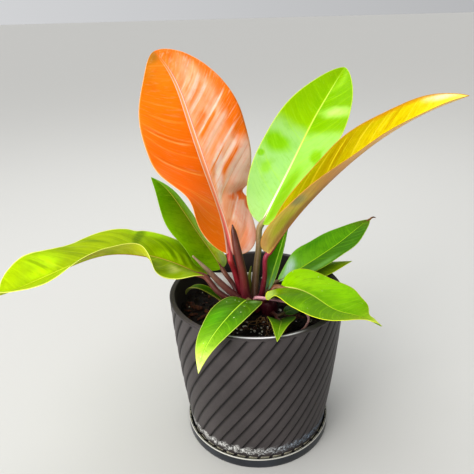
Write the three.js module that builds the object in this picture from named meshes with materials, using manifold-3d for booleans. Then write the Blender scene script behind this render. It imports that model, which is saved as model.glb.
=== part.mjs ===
// A potted prince of orange philodendron: saucer, fluted pot, soil, blank label, stem and leaves.
// Millimetres, +Z up, +X to the right, +Y away from the front.
// The origin is on the surface that the saucer stands on, under the axis of the pot.
import * as THREE from "three";
import { mergeVertices } from "three/addons/utils/BufferGeometryUtils.js";
import Module from "manifold-3d";

const wasm = await Module();
wasm.setup();

// Driving dimensions of the saucer
const SAUCER_RIM_RADIUS = 72.8;
const SAUCER_FOOT_RADIUS = 72.4;
const SAUCER_HEIGHT = 10.8;
const SAUCER_WALL = 2.2;
const SAUCER_FLOOR = 4;
const SAUCER_SIDES = 72;

// Driving dimensions of the pot
const GAP = 0.3;
const POT_FOOT_Z = SAUCER_FLOOR + GAP;
const POT_TOP_Z = 153.3;
const POT_FOOT_RADIUS = 68;
const POT_RIM_RADIUS = 82;
const POT_BELLY = 2.3;
const POT_WALL = 2.6;
const POT_FLOOR = 3;
const LIP_HEIGHT = 4.6;
const BORE_TOP_RADIUS = 77;
const FLUTES = 38;
const FLUTE_DEPTH = 1.5;
const FLUTE_TWIST = 0.49;
const FLUTE_START = 1.35 - 30 * FLUTE_TWIST;
const FLUTE_PROFILE = [[0, 1], [0.15, 0.16], [0.5, 0], [0.85, 0.16]];
const FLUTE_BOTTOM_Z = 10;
const FLUTE_ROWS = 7;
const BORE_SIDES = 60;
const DRAIN_RADIUS = 5;
const DRAIN_CIRCLE_RADIUS = 34;
const DRAINS = 6;

// Driving dimensions of the soil and of what stands in it
const SOIL_Z = 128;
const SOIL_RINGS = 7;
const SOIL_SECTORS = 32;
const BARK_CHIPS = 16;
const PERLITE_GRAINS = 14;
const STEM_HOLE_RADIUS = 9.2;
const STEM_HOLE_DEPTH = 24;
const STEM_FOOT = [12.5, -3];

// Driving dimensions of the label
const LABEL_WIDTH = 46;
const LABEL_HEAD = 24;
const LABEL_STAKE_WIDTH = 13;
const LABEL_THICKNESS = 0.9;
const LABEL_TOP_Z = 160;
const LABEL_BURIED = 20;
const LABEL_CENTRE = [-22, 20];
const LABEL_CORNER = 2;

// Driving dimensions that the leaves share
const BLADE_THICKNESS = 0.8;
const NECK_HALF_WIDTH = 1.6;
const RIB_DEPTH = 2;
const KEEL_SOFTNESS = 0.06;
const SPINE_STEPS = 60;
const SECTION_STEPS = 24;
const LOBE_POWER = 8;
const LOBE_HALF_WIDTH = 6;
const LEAF_GAP = 0.35;
const LEAD = 5;
const ACROSS = [-1, -0.72, -0.42, -0.16, 0, 0.16, 0.42, 0.72, 1];

// Colours
const COLOURS = {
  pot: 0x3c3637,
  saucer: 0x33343b,
  soil: 0x2a211c,
  label: 0xe9e4d8,
  stem: 0x5e2730,
  orange: 0xe8690c,
  lime: 0x8fcf14,
  yellow: 0xe0bf12,
  yellow_green: 0xa3cb0d,
  light_green: 0x7fc20d,
  green: 0x4f9a0b,
  dark_green: 0x38750a,
};

// Each leaf starts where its petiole ends. Its midrib leaves along the keyed rise (degrees above
// level) and heading (degrees from +X towards +Y), rolled about itself by the keyed roll.
// fold is how far the halves lift from flat at the midrib, curl how much more they lift by the edge,
// slim the keyed share of its width that the left half keeps.
const LEAVES = [
  {
    name: "orange_leaf",
    colour: "orange",
    start: [-24, -1, 190],
    length: 209,
    width: 114,
    rise: [43, 55, 61, 62, 43],
    heading: [99, 124, 130, 133, 154],
    roll: [-37, -31, 1, 19, 27],
    widest: 0.43,
    taper: 0.6,
    fold: [2],
    curl: 5,
    skew: 0.04,
    wave: [1.6, 3, 0.1],
    rows: 22,
  },
  {
    name: "lime_leaf",
    colour: "lime",
    start: [6, 30.6, 207],
    length: 175,
    width: 90,
    rise: [58, 56, 52, 43, 43],
    heading: [32, 34, 44, 46, 46],
    roll: [-14, -7, -16, -21, -19],
    widest: 0.38,
    taper: 0.75,
    fold: [28],
    curl: 13,
    skew: 0.2,
    wave: [1, 2.5, 0.3],
    rows: 20,
  },
  {
    name: "yellow_leaf",
    colour: "yellow",
    start: [11.6, -8, 194.8],
    length: 214,
    width: 70,
    rise: [58, 48, 41, 31, 19],
    heading: [12, 9, 5, -1, -8],
    roll: [-8, -14, -16, -15, -11],
    widest: 0.33,
    taper: 0.82,
    fold: [80, 98, 98, 93, 67],
    fold_right: [65, 53, 42, 32, 27],
    curl: 8,
    skew: 0.07,
    slim: [0.45, 0.7, 0.92, 0.97, 1],
    wave: [0.8, 3, 0.2],
    rows: 22,
  },
  {
    name: "left_leaf",
    colour: "yellow_green",
    start: [-51.7, -0.4, 168.8],
    length: 187,
    width: 80,
    rise: [30, 23, 14, -9, -17, -17],
    heading: [177, 186, 205, 210, 200, 189],
    roll: [-12, -7, -2, 0, 7, 7],
    widest: 0.41,
    taper: 0.28,
    fold: [24, 2, 4, 36, 37, 34, 28, 34, 45],
    fold_right: [11, 22, 23, 19, 11, 6, 12, 29, 27],
    curl: -8,
    lobe: 2,
    lobe_right: 8,
    wave: [0.4, 3, 0],
    rows: 22,
  },
  {
    name: "back_leaf",
    colour: "dark_green",
    start: [-32.4, 13, 168],
    length: 113,
    width: 65,
    rise: [48, 48, 51, 47, 29],
    heading: [139, 150, 150, 152, 166],
    roll: [0, -20, -18, -11, -5],
    widest: 0.39,
    taper: 0.86,
    fold: [-13],
    curl: -5,
    wave: [0.8, 2.5, 0],
    rows: 16,
  },
  {
    name: "right_upper_leaf",
    colour: "green",
    start: [21.1, 26.5, 145.5],
    length: 131,
    width: 58.5,
    rise: [26, 19, 14, 15, 14],
    heading: [14, 28, 37, 42, 38],
    roll: [10, 7, 10, 12, 7],
    widest: 0.44,
    taper: 0.92,
    fold: [8],
    curl: 3,
    wave: [0.8, 2.5, 0.2],
    rows: 16,
  },
  {
    name: "right_large_leaf",
    colour: "light_green",
    start: [21.9, -10.6, 160.7],
    length: 107.5,
    width: 73,
    rise: [15, 4, -1, 9, -25],
    heading: [-26, -48, -57, -38, -22],
    roll: [-13, 7, 6, 7, 34],
    widest: 0.35,
    taper: 0.64,
    fold: [6],
    curl: 3,
    lobe: 0,
    lobe_right: 11,
    wave: [0.8, 2, 0],
    rows: 18,
  },
  {
    name: "right_low_leaf",
    colour: "green",
    start: [43.5, 23.6, 153.4],
    length: 60,
    width: 28,
    rise: [16, 4, -8],
    heading: [25, 24, 19],
    roll: [-8, 4, 16],
    widest: 0.4,
    taper: 0.93,
    fold: [-9],
    curl: -7,
    rows: 10,
  },
  {
    name: "centre_leaf",
    colour: "dark_green",
    start: [10.6, 5, 148.5],
    length: 70,
    width: 28,
    rise: [63, 62, 63],
    heading: [48, 49, 51],
    roll: [-31, -21, -11],
    widest: 0.46,
    taper: 0.58,
    fold: [40],
    curl: 48,
    rows: 12,
  },
  {
    name: "front_leaf",
    colour: "light_green",
    start: [-7.6, -14.3, 149.2],
    length: 111,
    width: 41,
    rise: [35, 13, -5, -21, -46],
    heading: [263, 251, 242, 242, 258],
    roll: [7, -4, -14, -14, -34],
    widest: 0.4,
    taper: 1.03,
    fold: [4],
    curl: 1,
    lobe: 9,
    wave: [0.6, 2.5, 0.1],
    rows: 18,
  },
  {
    name: "front_small_leaf",
    colour: "green",
    start: [20.5, -30, 137.5],
    length: 62,
    width: 26,
    rise: [32, 28, 18, -35],
    heading: [278, 268, 262, 258],
    roll: [2, 1, 0, -2],
    widest: 0.32,
    taper: 1,
    fold: [14],
    curl: 8,
    rows: 9,
  },
  {
    name: "left_small_leaf",
    colour: "green",
    start: [-31.6, -3.4, 141.3],
    length: 48,
    width: 11,
    rise: [33, 20, -15, -64],
    heading: [170, 155, 152, 156],
    roll: [4, -2, -8, -7],
    widest: 0.52,
    taper: 0.7,
    fold: [22],
    curl: 14,
    rows: 9,
  },
  {
    name: "inner_small_leaf",
    colour: "dark_green",
    start: [25.4, -18.6, 137.6],
    length: 18,
    width: 15,
    rise: [19, 3, -10],
    heading: [20, 16, 14],
    roll: [-10, 1, 11],
    widest: 0.45,
    taper: 0.77,
    fold: [2],
    curl: 0,
    rows: 7,
  },
];

// Petioles and sheaths: the points of each axis, from inside the crown outwards, and its radii.
// A petiole that carries a leaf ends in front of that leaf's start.
const STALKS = [
  {
    points: [[12.5, -3, 106], [12.5, -3, 126], [11, -3, 137], [1, -2, 143.5]],
    radii: [8.2, 8, 8, 6],
    sides: 14,
  },
  {
    points: [[2, -4, 132], [-8, -4, 143], [-12, -3, 170], [-17, -1, 195], [-20.7, 1, 219]],
    radii: [4.6, 6, 5.2, 4.1, 0.6],
    sides: 10,
  },
  {
    points: [[-2, -4, 134], [-16, -5, 145], [-32, -8, 163], [-44, -10, 178.5], [-57, -11, 194]],
    radii: [4.4, 4.6, 4, 2.7, 0.9],
    sides: 10,
  },
  {
    points: [[0, 2, 134], [-5, 7, 147], [-6.5, 9, 160], [-4.5, 10, 172]],
    radii: [2, 2, 1.8, 0.6],
  },
  {
    leaf: "orange_leaf",
    points: [[-3, -1, 134], [-12.5, 1, 144], [-16.5, 2, 157], [-20.5, 1, 174]],
    radii: [3.8, 3.6, 3.2, 2.8],
  },
  {
    leaf: "left_leaf",
    points: [[-3, -5, 132], [-20, -6, 142], [-36, -5, 153]],
    radii: [3, 2.9, 2.7],
  },
  {
    leaf: "back_leaf",
    points: [[-4, 0, 134], [-16, 3, 144], [-23, 8, 155]],
    radii: [2.6, 2.4, 2.2],
  },
  {
    leaf: "lime_leaf",
    points: [[0, 0, 134], [-1.5, 3, 142], [0, 13, 164], [3, 23, 186]],
    radii: [3.6, 3.6, 3.4, 3],
  },
  {
    leaf: "yellow_leaf",
    points: [[3, -3, 134], [4, -5, 143], [8, -7, 170]],
    radii: [3.2, 2.9, 2.3],
  },
  {
    leaf: "right_upper_leaf",
    points: [[3, 1, 133], [6, 12, 137], [13, 21, 141]],
    radii: [2.6, 2.5, 2.4],
  },
  {
    leaf: "right_large_leaf",
    points: [[5, -4, 134], [8, -7, 144], [15, -9, 155]],
    radii: [2.8, 2.7, 2.6],
  },
  {
    leaf: "front_leaf",
    points: [[0, -5, 134], [-3, -9, 142]],
    radii: [2.6, 2.5],
  },
  {
    leaf: "centre_leaf",
    points: [[4, -1, 134], [8, 3, 142]],
    radii: [2.4, 2.2],
  },
  {
    leaf: "right_low_leaf",
    points: [[5, 1, 133], [16, 7, 139], [30, 15, 146]],
    radii: [2.2, 2.1, 2],
  },
  {
    leaf: "front_small_leaf",
    points: [[12, -4, 130], [16.5, -14, 134.5]],
    radii: [1.8, 1.7],
  },
  {
    leaf: "left_small_leaf",
    points: [[-2, -5, 132], [-16, -4, 137]],
    radii: [2.2, 1.9],
  },
  {
    leaf: "inner_small_leaf",
    points: [[12, -4, 130], [16, -15, 134.5]],
    radii: [1.8, 1.6],
  },
  {
    points: [[-2, -4, 142], [0, -11, 149.5], [11, -15, 151], [22, -19, 151], [32, -22, 149.5],
      [42, -26, 145], [47.5, -29, 139], [44, -35, 133.5], [39.5, -39, 131.5]],
    radii: [1.8, 1.8, 1.6, 1.3, 1.1, 1.1, 1.2, 1.2, 1],
    sides: 6,
  },
];

const radians = THREE.MathUtils.degToRad;

// A repeatable stream of numbers from 0 to 1.
function seededRandom(seed) {
  let state = seed;
  return () => {
    state = (state * 1664525 + 1013904223) % 4294967296;
    return state / 4294967296;
  };
}

// The value at t, 0 to 1, of a smooth curve through evenly spaced keys.
function along(keys, t) {
  if (keys.length === 1) return keys[0];
  const last = keys.length - 1;
  const x = Math.min(Math.max(t, 0), 1) * last;
  const i = Math.min(last - 1, Math.floor(x));
  const f = x - i;
  const before = keys[Math.max(0, i - 1)];
  const from = keys[i];
  const to = keys[i + 1];
  const after = keys[Math.min(last, i + 2)];
  const slope = to - before;
  const bend = 2 * before - 5 * from + 4 * to - after;
  const twist = 3 * from - before - 3 * to + after;
  return from + 0.5 * f * (slope + f * (bend + f * twist));
}

// A closed solid from vertices and triangles that face out.
function solidOf(vertices, triangles) {
  return new wasm.Manifold(
    new wasm.Mesh({
      numProp: 3,
      vertProperties: new Float32Array(vertices),
      triVerts: new Uint32Array(triangles),
    }),
  );
}

// A closed solid from a closed three.js geometry.
function solidOfGeometry(geometry) {
  const bare = geometry.clone();
  bare.deleteAttribute("normal");
  bare.deleteAttribute("uv");
  const merged = mergeVertices(bare, 1e-4);
  return solidOf(merged.attributes.position.array, merged.index.array);
}

// A three.js geometry from a solid.
function geometryOf(solid) {
  const { vertProperties, triVerts, numProp, numVert } = solid.getMesh();
  const positions = new Float32Array(numVert * 3);
  for (let i = 0; i < numVert; i++) {
    positions.set(vertProperties.subarray(i * numProp, i * numProp + 3), i * 3);
  }
  const geometry = new THREE.BufferGeometry();
  geometry.setAttribute("position", new THREE.BufferAttribute(positions, 3));
  geometry.setIndex(new THREE.BufferAttribute(new Uint32Array(triVerts), 1));
  geometry.computeVertexNormals();
  return geometry;
}

// A closed solid through rings of points with the same count, closed at both ends by a fan.
function solidOfRings(rings) {
  const count = rings[0].length;
  const vertices = rings.flat(2);
  const triangles = [];
  for (let row = 0; row + 1 < rings.length; row++) {
    for (let i = 0; i < count; i++) {
      const a = row * count + i;
      const b = row * count + ((i + 1) % count);
      triangles.push(a, b, a + count, b, b + count, a + count);
    }
  }
  const ends = [
    [0, true],
    [rings.length - 1, false],
  ];
  for (const [row, first] of ends) {
    const centre = vertices.length / 3;
    const ring = rings[row];
    for (let k = 0; k < 3; k++) {
      vertices.push(ring.reduce((sum, p) => sum + p[k], 0) / count);
    }
    for (let i = 0; i < count; i++) {
      const a = row * count + i;
      const b = row * count + ((i + 1) % count);
      triangles.push(centre, first ? b : a, first ? a : b);
    }
  }
  return solidOf(vertices, triangles);
}

// An upright cylinder or cone frustum with its base at z, for cutting.
function upright(bottomRadius, topRadius, height, x, y, z, sides) {
  const shape = new THREE.CylinderGeometry(topRadius, bottomRadius, height, sides);
  shape.rotateX(Math.PI / 2);
  shape.translate(x, y, z + height / 2);
  return solidOfGeometry(shape);
}

// The saucer: a shallow dish turned about the axis.
function saucer() {
  const profile = [
    [0, 0],
    [SAUCER_FOOT_RADIUS - 1, 0],
    [SAUCER_FOOT_RADIUS, 1],
    [SAUCER_RIM_RADIUS, SAUCER_HEIGHT - 0.8],
    [SAUCER_RIM_RADIUS - 0.6, SAUCER_HEIGHT],
    [SAUCER_RIM_RADIUS - SAUCER_WALL + 0.5, SAUCER_HEIGHT],
    [SAUCER_RIM_RADIUS - SAUCER_WALL, SAUCER_HEIGHT - 0.8],
    [SAUCER_FOOT_RADIUS - SAUCER_WALL - 0.4, SAUCER_FLOOR],
    [0, SAUCER_FLOOR],
  ];
  const points = profile.map(([r, z]) => new THREE.Vector2(r, z));
  const geometry = new THREE.LatheGeometry(points, SAUCER_SIDES);
  geometry.rotateX(Math.PI / 2);
  return geometryOf(solidOfGeometry(geometry));
}

// The radius of the pot's outer wall at height z, over the ridges of its flutes.
function potRadius(z) {
  const t = (z - POT_FOOT_Z) / (POT_TOP_Z - POT_FOOT_Z);
  return POT_FOOT_RADIUS + (POT_RIM_RADIUS - POT_FOOT_RADIUS) * t + POT_BELLY * 4 * t * (1 - t);
}

// The radius of the pot's straight bore at height z.
function boreRadius(z) {
  const t = (z - POT_FOOT_Z) / (POT_TOP_Z - POT_FOOT_Z);
  return THREE.MathUtils.lerp(POT_FOOT_RADIUS - FLUTE_DEPTH - POT_WALL, BORE_TOP_RADIUS, t);
}

// The pot: spiral flutes between a plain foot and a plain lip, bored out, with drain holes.
function pot() {
  const fluteTop = POT_TOP_Z - LIP_HEIGHT;
  const levels = [[POT_FOOT_Z, 0], [FLUTE_BOTTOM_Z - 1.5, 0]];
  for (let i = 0; i <= FLUTE_ROWS; i++) {
    levels.push([THREE.MathUtils.lerp(FLUTE_BOTTOM_Z, fluteTop, i / FLUTE_ROWS), 1]);
  }
  const slices = FLUTES * FLUTE_PROFILE.length;
  const body = levels.map(([z, depth]) =>
    Array.from({ length: slices }, (_, i) => {
      const flute = Math.floor(i / FLUTE_PROFILE.length);
      const [phase, share] = FLUTE_PROFILE[i % FLUTE_PROFILE.length];
      const angle = radians(((flute + phase) * 360) / FLUTES + FLUTE_START + FLUTE_TWIST * z);
      const cut = FLUTE_DEPTH * share * depth;
      const radius = potRadius(z) - cut;
      return [radius * Math.sin(angle), -radius * Math.cos(angle), z];
    }),
  );
  const lipRadius = POT_RIM_RADIUS;
  const lip = upright(lipRadius - 0.3, lipRadius, LIP_HEIGHT - 1, 0, 0, fluteTop, BORE_SIDES)
    .add(upright(lipRadius, lipRadius - 1.2, 1, 0, 0, POT_TOP_Z - 1, BORE_SIDES));
  const boreBottom = POT_FOOT_Z + POT_FLOOR;
  const boreHeight = POT_TOP_Z + 1 - boreBottom;
  const lowBore = boreRadius(boreBottom);
  const highBore = boreRadius(POT_TOP_Z + 1);
  const bore = upright(lowBore, highBore, boreHeight, 0, 0, boreBottom, BORE_SIDES);
  let solid = solidOfRings(body).add(lip).subtract(bore);
  for (let i = 0; i < DRAINS; i++) {
    const angle = (i * 2 * Math.PI) / DRAINS;
    const x = DRAIN_CIRCLE_RADIUS * Math.cos(angle);
    const y = DRAIN_CIRCLE_RADIUS * Math.sin(angle);
    solid = solid.subtract(upright(DRAIN_RADIUS, DRAIN_RADIUS, 9, x, y, POT_FOOT_Z - 3, 16));
  }
  return geometryOf(solid);
}

// The height of the soil's surface, without chips and grains.
function soilHeight(x, y) {
  const swell = 1.5 * Math.sin(x * 0.09 + 0.6) * Math.cos(y * 0.075 - 0.4);
  const lumps = 0.8 * Math.sin(x * 0.37 + y * 0.23) + 0.7 * Math.cos(y * 0.41 - x * 0.19);
  return SOIL_Z + swell + lumps;
}

// The soil: it fills the pot, with bark chips and grains half sunk in its top.
function soil() {
  const bottom = POT_FOOT_Z + POT_FLOOR + GAP;
  const rimTop = boreRadius(SOIL_Z - 4) - GAP * 1.6;
  const rings = [[bottom, boreRadius(bottom) - GAP * 1.6], [SOIL_Z - 4, rimTop]].map(([z, radius]) =>
    Array.from({ length: SOIL_SECTORS }, (_, i) => {
      const angle = (i * 2 * Math.PI) / SOIL_SECTORS;
      return [radius * Math.cos(angle), radius * Math.sin(angle), z];
    }),
  );
  for (let ring = SOIL_RINGS; ring > 0; ring--) {
    const radius = (rimTop * ring) / SOIL_RINGS;
    rings.push(
      Array.from({ length: SOIL_SECTORS }, (_, i) => {
        const angle = (i * 2 * Math.PI) / SOIL_SECTORS;
        const x = radius * Math.cos(angle);
        const y = radius * Math.sin(angle);
        return [x, y, soilHeight(x, y)];
      }),
    );
  }
  let solid = solidOfRings(rings);
  const random = seededRandom(7);
  for (let i = 0; i < BARK_CHIPS + PERLITE_GRAINS; i++) {
    const bark = i < BARK_CHIPS;
    const distance = (rimTop - 9) * Math.sqrt(random());
    const angle = random() * 2 * Math.PI;
    const x = distance * Math.cos(angle);
    const y = distance * Math.sin(angle);
    const lump = bark ? new THREE.BoxGeometry(11, 6, 4) : new THREE.IcosahedronGeometry(2.2, 0);
    lump.rotateX((random() - 0.5) * 0.9);
    lump.rotateY((random() - 0.5) * 0.9);
    lump.rotateZ(random() * Math.PI);
    lump.translate(x, y, soilHeight(x, y) + 0.8);
    if (Math.hypot(x - STEM_FOOT[0], y - STEM_FOOT[1]) < STEM_HOLE_RADIUS + 7) continue;
    if (Math.abs(y - LABEL_CENTRE[1]) < 9 && Math.abs(x - LABEL_CENTRE[0]) < 30) continue;
    solid = solid.add(solidOfGeometry(lump));
  }
  const holeHeight = STEM_HOLE_DEPTH + 12;
  const holeZ = SOIL_Z - STEM_HOLE_DEPTH;
  const hole = upright(
    STEM_HOLE_RADIUS, STEM_HOLE_RADIUS, holeHeight, STEM_FOOT[0], STEM_FOOT[1], holeZ, 20,
  );
  const slotWidth = LABEL_STAKE_WIDTH + 2 * GAP;
  const slot = new THREE.BoxGeometry(slotWidth, LABEL_THICKNESS + 2 * GAP, 60);
  slot.translate(LABEL_CENTRE[0], LABEL_CENTRE[1], SOIL_Z - LABEL_BURIED - GAP + 30);
  return geometryOf(solid.subtract(hole).subtract(solidOfGeometry(slot)));
}

// The label: a blank plastic card with rounded top corners, on a stake pushed into the soil.
function label() {
  const [middle, depth] = LABEL_CENTRE;
  const left = middle - LABEL_WIDTH / 2;
  const right = middle + LABEL_WIDTH / 2;
  const cornerZ = LABEL_TOP_Z - LABEL_CORNER;
  const headZ = LABEL_TOP_Z - LABEL_HEAD;
  const shoulderZ = headZ - 4;
  const outline = new THREE.Shape();
  outline.moveTo(middle, SOIL_Z - LABEL_BURIED);
  outline.lineTo(middle + LABEL_STAKE_WIDTH / 2, SOIL_Z - LABEL_BURIED + 8);
  outline.lineTo(middle + LABEL_STAKE_WIDTH / 2, shoulderZ);
  outline.lineTo(right, headZ);
  outline.lineTo(right, cornerZ);
  outline.absarc(right - LABEL_CORNER, cornerZ, LABEL_CORNER, 0, Math.PI / 2);
  outline.absarc(left + LABEL_CORNER, cornerZ, LABEL_CORNER, Math.PI / 2, Math.PI);
  outline.lineTo(left, headZ);
  outline.lineTo(middle - LABEL_STAKE_WIDTH / 2, shoulderZ);
  outline.lineTo(middle - LABEL_STAKE_WIDTH / 2, SOIL_Z - LABEL_BURIED + 8);
  outline.closePath();
  const options = { depth: LABEL_THICKNESS, bevelEnabled: false, curveSegments: 4 };
  const card = new THREE.ExtrudeGeometry(outline, options);
  card.rotateX(Math.PI / 2);
  card.translate(0, depth + LABEL_THICKNESS / 2, 0);
  return geometryOf(solidOfGeometry(card));
}

// The unit vectors of a midrib at s: forwards, to its right and up from the blade.
function frameAt(leaf, s) {
  const rise = radians(along(leaf.rise, s));
  const heading = radians(along(leaf.heading, s));
  const roll = radians(along(leaf.roll, s));
  const level = new THREE.Vector3(Math.cos(heading), Math.sin(heading), 0);
  const forwards = level.clone().multiplyScalar(Math.cos(rise));
  forwards.z = Math.sin(rise);
  const flatRight = new THREE.Vector3(Math.sin(heading), -Math.cos(heading), 0);
  const flatUp = level.clone().multiplyScalar(-Math.sin(rise));
  flatUp.z = Math.cos(rise);
  const right = flatRight.clone().multiplyScalar(Math.cos(roll));
  right.addScaledVector(flatUp, Math.sin(roll));
  const up = flatUp.clone().multiplyScalar(Math.cos(roll));
  up.addScaledVector(flatRight, -Math.sin(roll));
  return { forwards, right, up };
}

// The points of a leaf's midrib at even steps.
function spineOf(leaf) {
  const step = leaf.length / SPINE_STEPS;
  const points = [new THREE.Vector3(...leaf.start)];
  for (let i = 0; i < SPINE_STEPS; i++) {
    const { forwards } = frameAt(leaf, (i + 0.5) / SPINE_STEPS);
    points.push(points[i].clone().addScaledVector(forwards, step));
  }
  return points;
}

// The half width of a blade at s, as a share of its greatest half width.
function outlineAt(leaf, s) {
  const end = leaf.taper;
  const begin = (end * leaf.widest) / (1 - leaf.widest);
  const top = leaf.widest ** begin * (1 - leaf.widest) ** end;
  return (s ** begin * (1 - s) ** end) / top;
}

// How far a half blade reaches out and up at the distance a from the midrib, both from 0 to 1.
function sectionAt(fold, curl, a) {
  let out = 0;
  let up = 0;
  for (let i = 0; i < SECTION_STEPS; i++) {
    const m = (a * (i + 0.5)) / SECTION_STEPS;
    const angle = radians(fold * (1 - Math.exp(-m / KEEL_SOFTNESS)) + curl * m);
    out += (Math.cos(angle) * a) / SECTION_STEPS;
    up += (Math.sin(angle) * a) / SECTION_STEPS;
  }
  return [out, up];
}

// A point of a blade's middle surface: s runs from base to tip, u from the left edge to the right.
function bladePoint(leaf, spine, s, u) {
  const { forwards, right, up } = frameAt(leaf, s);
  const side = Math.sign(u);
  const kept = side < 0 && leaf.slim ? along(leaf.slim, s) : 1;
  const share = (leaf.width / 2) * outlineAt(leaf, s) * (1 + (leaf.skew || 0) * side) * kept;
  const half = Math.max(share, NECK_HALF_WIDTH * (1 - s));
  const fold = along(side > 0 ? leaf.fold_right || leaf.fold : leaf.fold, s);
  const [across, lift] = sectionAt(fold, leaf.curl, Math.abs(u));
  const [waveHeight, waves, wavePhase] = leaf.wave || [0, 0, 0];
  const turn = 2 * Math.PI * (waves * s + wavePhase) + (side < 0 ? 2.2 : 0);
  const wave = waveHeight * u * u * Math.sin(turn) * Math.sin(Math.PI * s);
  const lobed = Math.min(Math.max((half - NECK_HALF_WIDTH) / LOBE_HALF_WIDTH, 0), 1);
  const lobe = (side > 0 ? leaf.lobe_right || leaf.lobe : leaf.lobe) || 0;
  const back = lobe * lobed * u * u * (1 - s) ** LOBE_POWER;
  const x = Math.min(Math.max(s, 0), 1) * SPINE_STEPS;
  const i = Math.min(SPINE_STEPS - 1, Math.floor(x));
  const point = spine[i].clone().lerp(spine[i + 1], x - i);
  point.addScaledVector(right, side * across * half);
  point.addScaledVector(up, lift * half + wave);
  point.addScaledVector(forwards, LEAF_GAP - back);
  return point;
}

// The direction out of a blade's upper face.
function bladeNormal(leaf, spine, s, u) {
  const step = 0.004;
  const s0 = Math.max(0, s - step);
  const s1 = Math.min(1, s + step);
  const u0 = Math.max(-1, u - step);
  const u1 = Math.min(1, u + step);
  const along = bladePoint(leaf, spine, s1, u).sub(bladePoint(leaf, spine, s0, u));
  const across = bladePoint(leaf, spine, s, u1).sub(bladePoint(leaf, spine, s, u0));
  return across.cross(along).normalize();
}

// A leaf blade: one thin closed body, with its midrib raised below.
function blade(leaf) {
  const spine = spineOf(leaf);
  const columns = ACROSS.length;
  const vertices = [];
  const lower = [];
  for (let row = 0; row <= leaf.rows; row++) {
    const s = 0.5 - 0.5 * Math.cos((Math.PI * row) / leaf.rows);
    for (const u of ACROSS) {
      const point = bladePoint(leaf, spine, s, u);
      const normal = bladeNormal(leaf, spine, s, u);
      const rib = u === 0 ? RIB_DEPTH * (1 - s) * Math.min(1, leaf.width / 60) : 0;
      vertices.push(...point.clone().addScaledVector(normal, BLADE_THICKNESS / 2));
      lower.push(...point.clone().addScaledVector(normal, -BLADE_THICKNESS / 2 - rib));
    }
  }
  const under = vertices.length / 3;
  vertices.push(...lower);
  const triangles = [];
  for (let row = 0; row < leaf.rows; row++) {
    for (let column = 0; column + 1 < columns; column++) {
      const a = row * columns + column;
      const b = a + 1;
      const c = a + columns;
      const d = c + 1;
      const pair = ACROSS[column] < 0 ? [[a, b, d], [a, d, c]] : [[a, b, c], [b, d, c]];
      for (const [i, j, k] of pair) {
        triangles.push(i, j, k);
        triangles.push(under + i, under + k, under + j);
      }
    }
  }
  const border = [];
  for (let column = 0; column < columns; column++) border.push(column);
  for (let row = 1; row <= leaf.rows; row++) border.push(row * columns + columns - 1);
  for (let column = columns - 2; column >= 0; column--) border.push(leaf.rows * columns + column);
  for (let row = leaf.rows - 1; row > 0; row--) border.push(row * columns);
  border.forEach((a, i) => {
    const b = border[(i + 1) % border.length];
    triangles.push(a, under + a, b, b, under + a, under + b);
  });
  return solidOf(vertices, triangles);
}

// One stalk: a tapered tube along a smooth curve, closed at both ends.
function stalk({ leaf, points, radii, sides = 8 }) {
  const path = points.map((p) => new THREE.Vector3(...p));
  const widths = [...radii];
  if (leaf) {
    const carried = LEAVES.find((one) => one.name === leaf);
    const end = new THREE.Vector3(...carried.start);
    const { forwards } = frameAt(carried, 0);
    path.push(end.clone().addScaledVector(forwards, -LEAD));
    path.push(end);
    widths.push(widths[widths.length - 1], widths[widths.length - 1]);
  }
  const curve = new THREE.CatmullRomCurve3(path, false, "centripetal");
  const steps = 2 * (path.length - 1) + 1;
  const frames = curve.computeFrenetFrames(steps, false);
  const rings = [];
  for (let i = 0; i <= steps; i++) {
    const centre = curve.getPointAt(i / steps);
    const radius = along(widths, curve.getUtoTmapping(i / steps));
    rings.push(
      Array.from({ length: sides }, (_, k) => {
        const angle = (k * 2 * Math.PI) / sides;
        const offset = frames.normals[i].clone().multiplyScalar(radius * Math.cos(angle));
        offset.addScaledVector(frames.binormals[i], radius * Math.sin(angle));
        return centre.clone().add(offset).toArray();
      }),
    );
  }
  return solidOfRings(rings);
}

// The stem with every petiole and sheath, grown together at the crown.
function stem() {
  return geometryOf(STALKS.map(stalk).reduce((all, one) => all.add(one)));
}

function mesh(name, geometry, colour, roughness) {
  const material = new THREE.MeshStandardMaterial({ color: COLOURS[colour], roughness });
  const made = new THREE.Mesh(geometry, material);
  made.name = name;
  return made;
}

const plant = new THREE.Group();
plant.add(mesh("saucer", saucer(), "saucer", 0.5));
plant.add(mesh("pot", pot(), "pot", 0.6));
plant.add(mesh("soil", soil(), "soil", 0.95));
plant.add(mesh("plant_label", label(), "label", 0.4));
plant.add(mesh("stem_and_petioles", stem(), "stem", 0.45));
for (const leaf of LEAVES) {
  plant.add(mesh(leaf.name, geometryOf(blade(leaf)), leaf.colour, 0.35));
}

export default plant;
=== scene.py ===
"""The looks of a potted prince of orange philodendron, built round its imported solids.

The frame is in metres. The tables of leaves and stalks repeat the solids' own values in millimetres,
and every mesh is turned to metres when it is made.
"""

import math
import random

import bpy
import numpy as np
from mathutils import Matrix, Vector, noise


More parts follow.
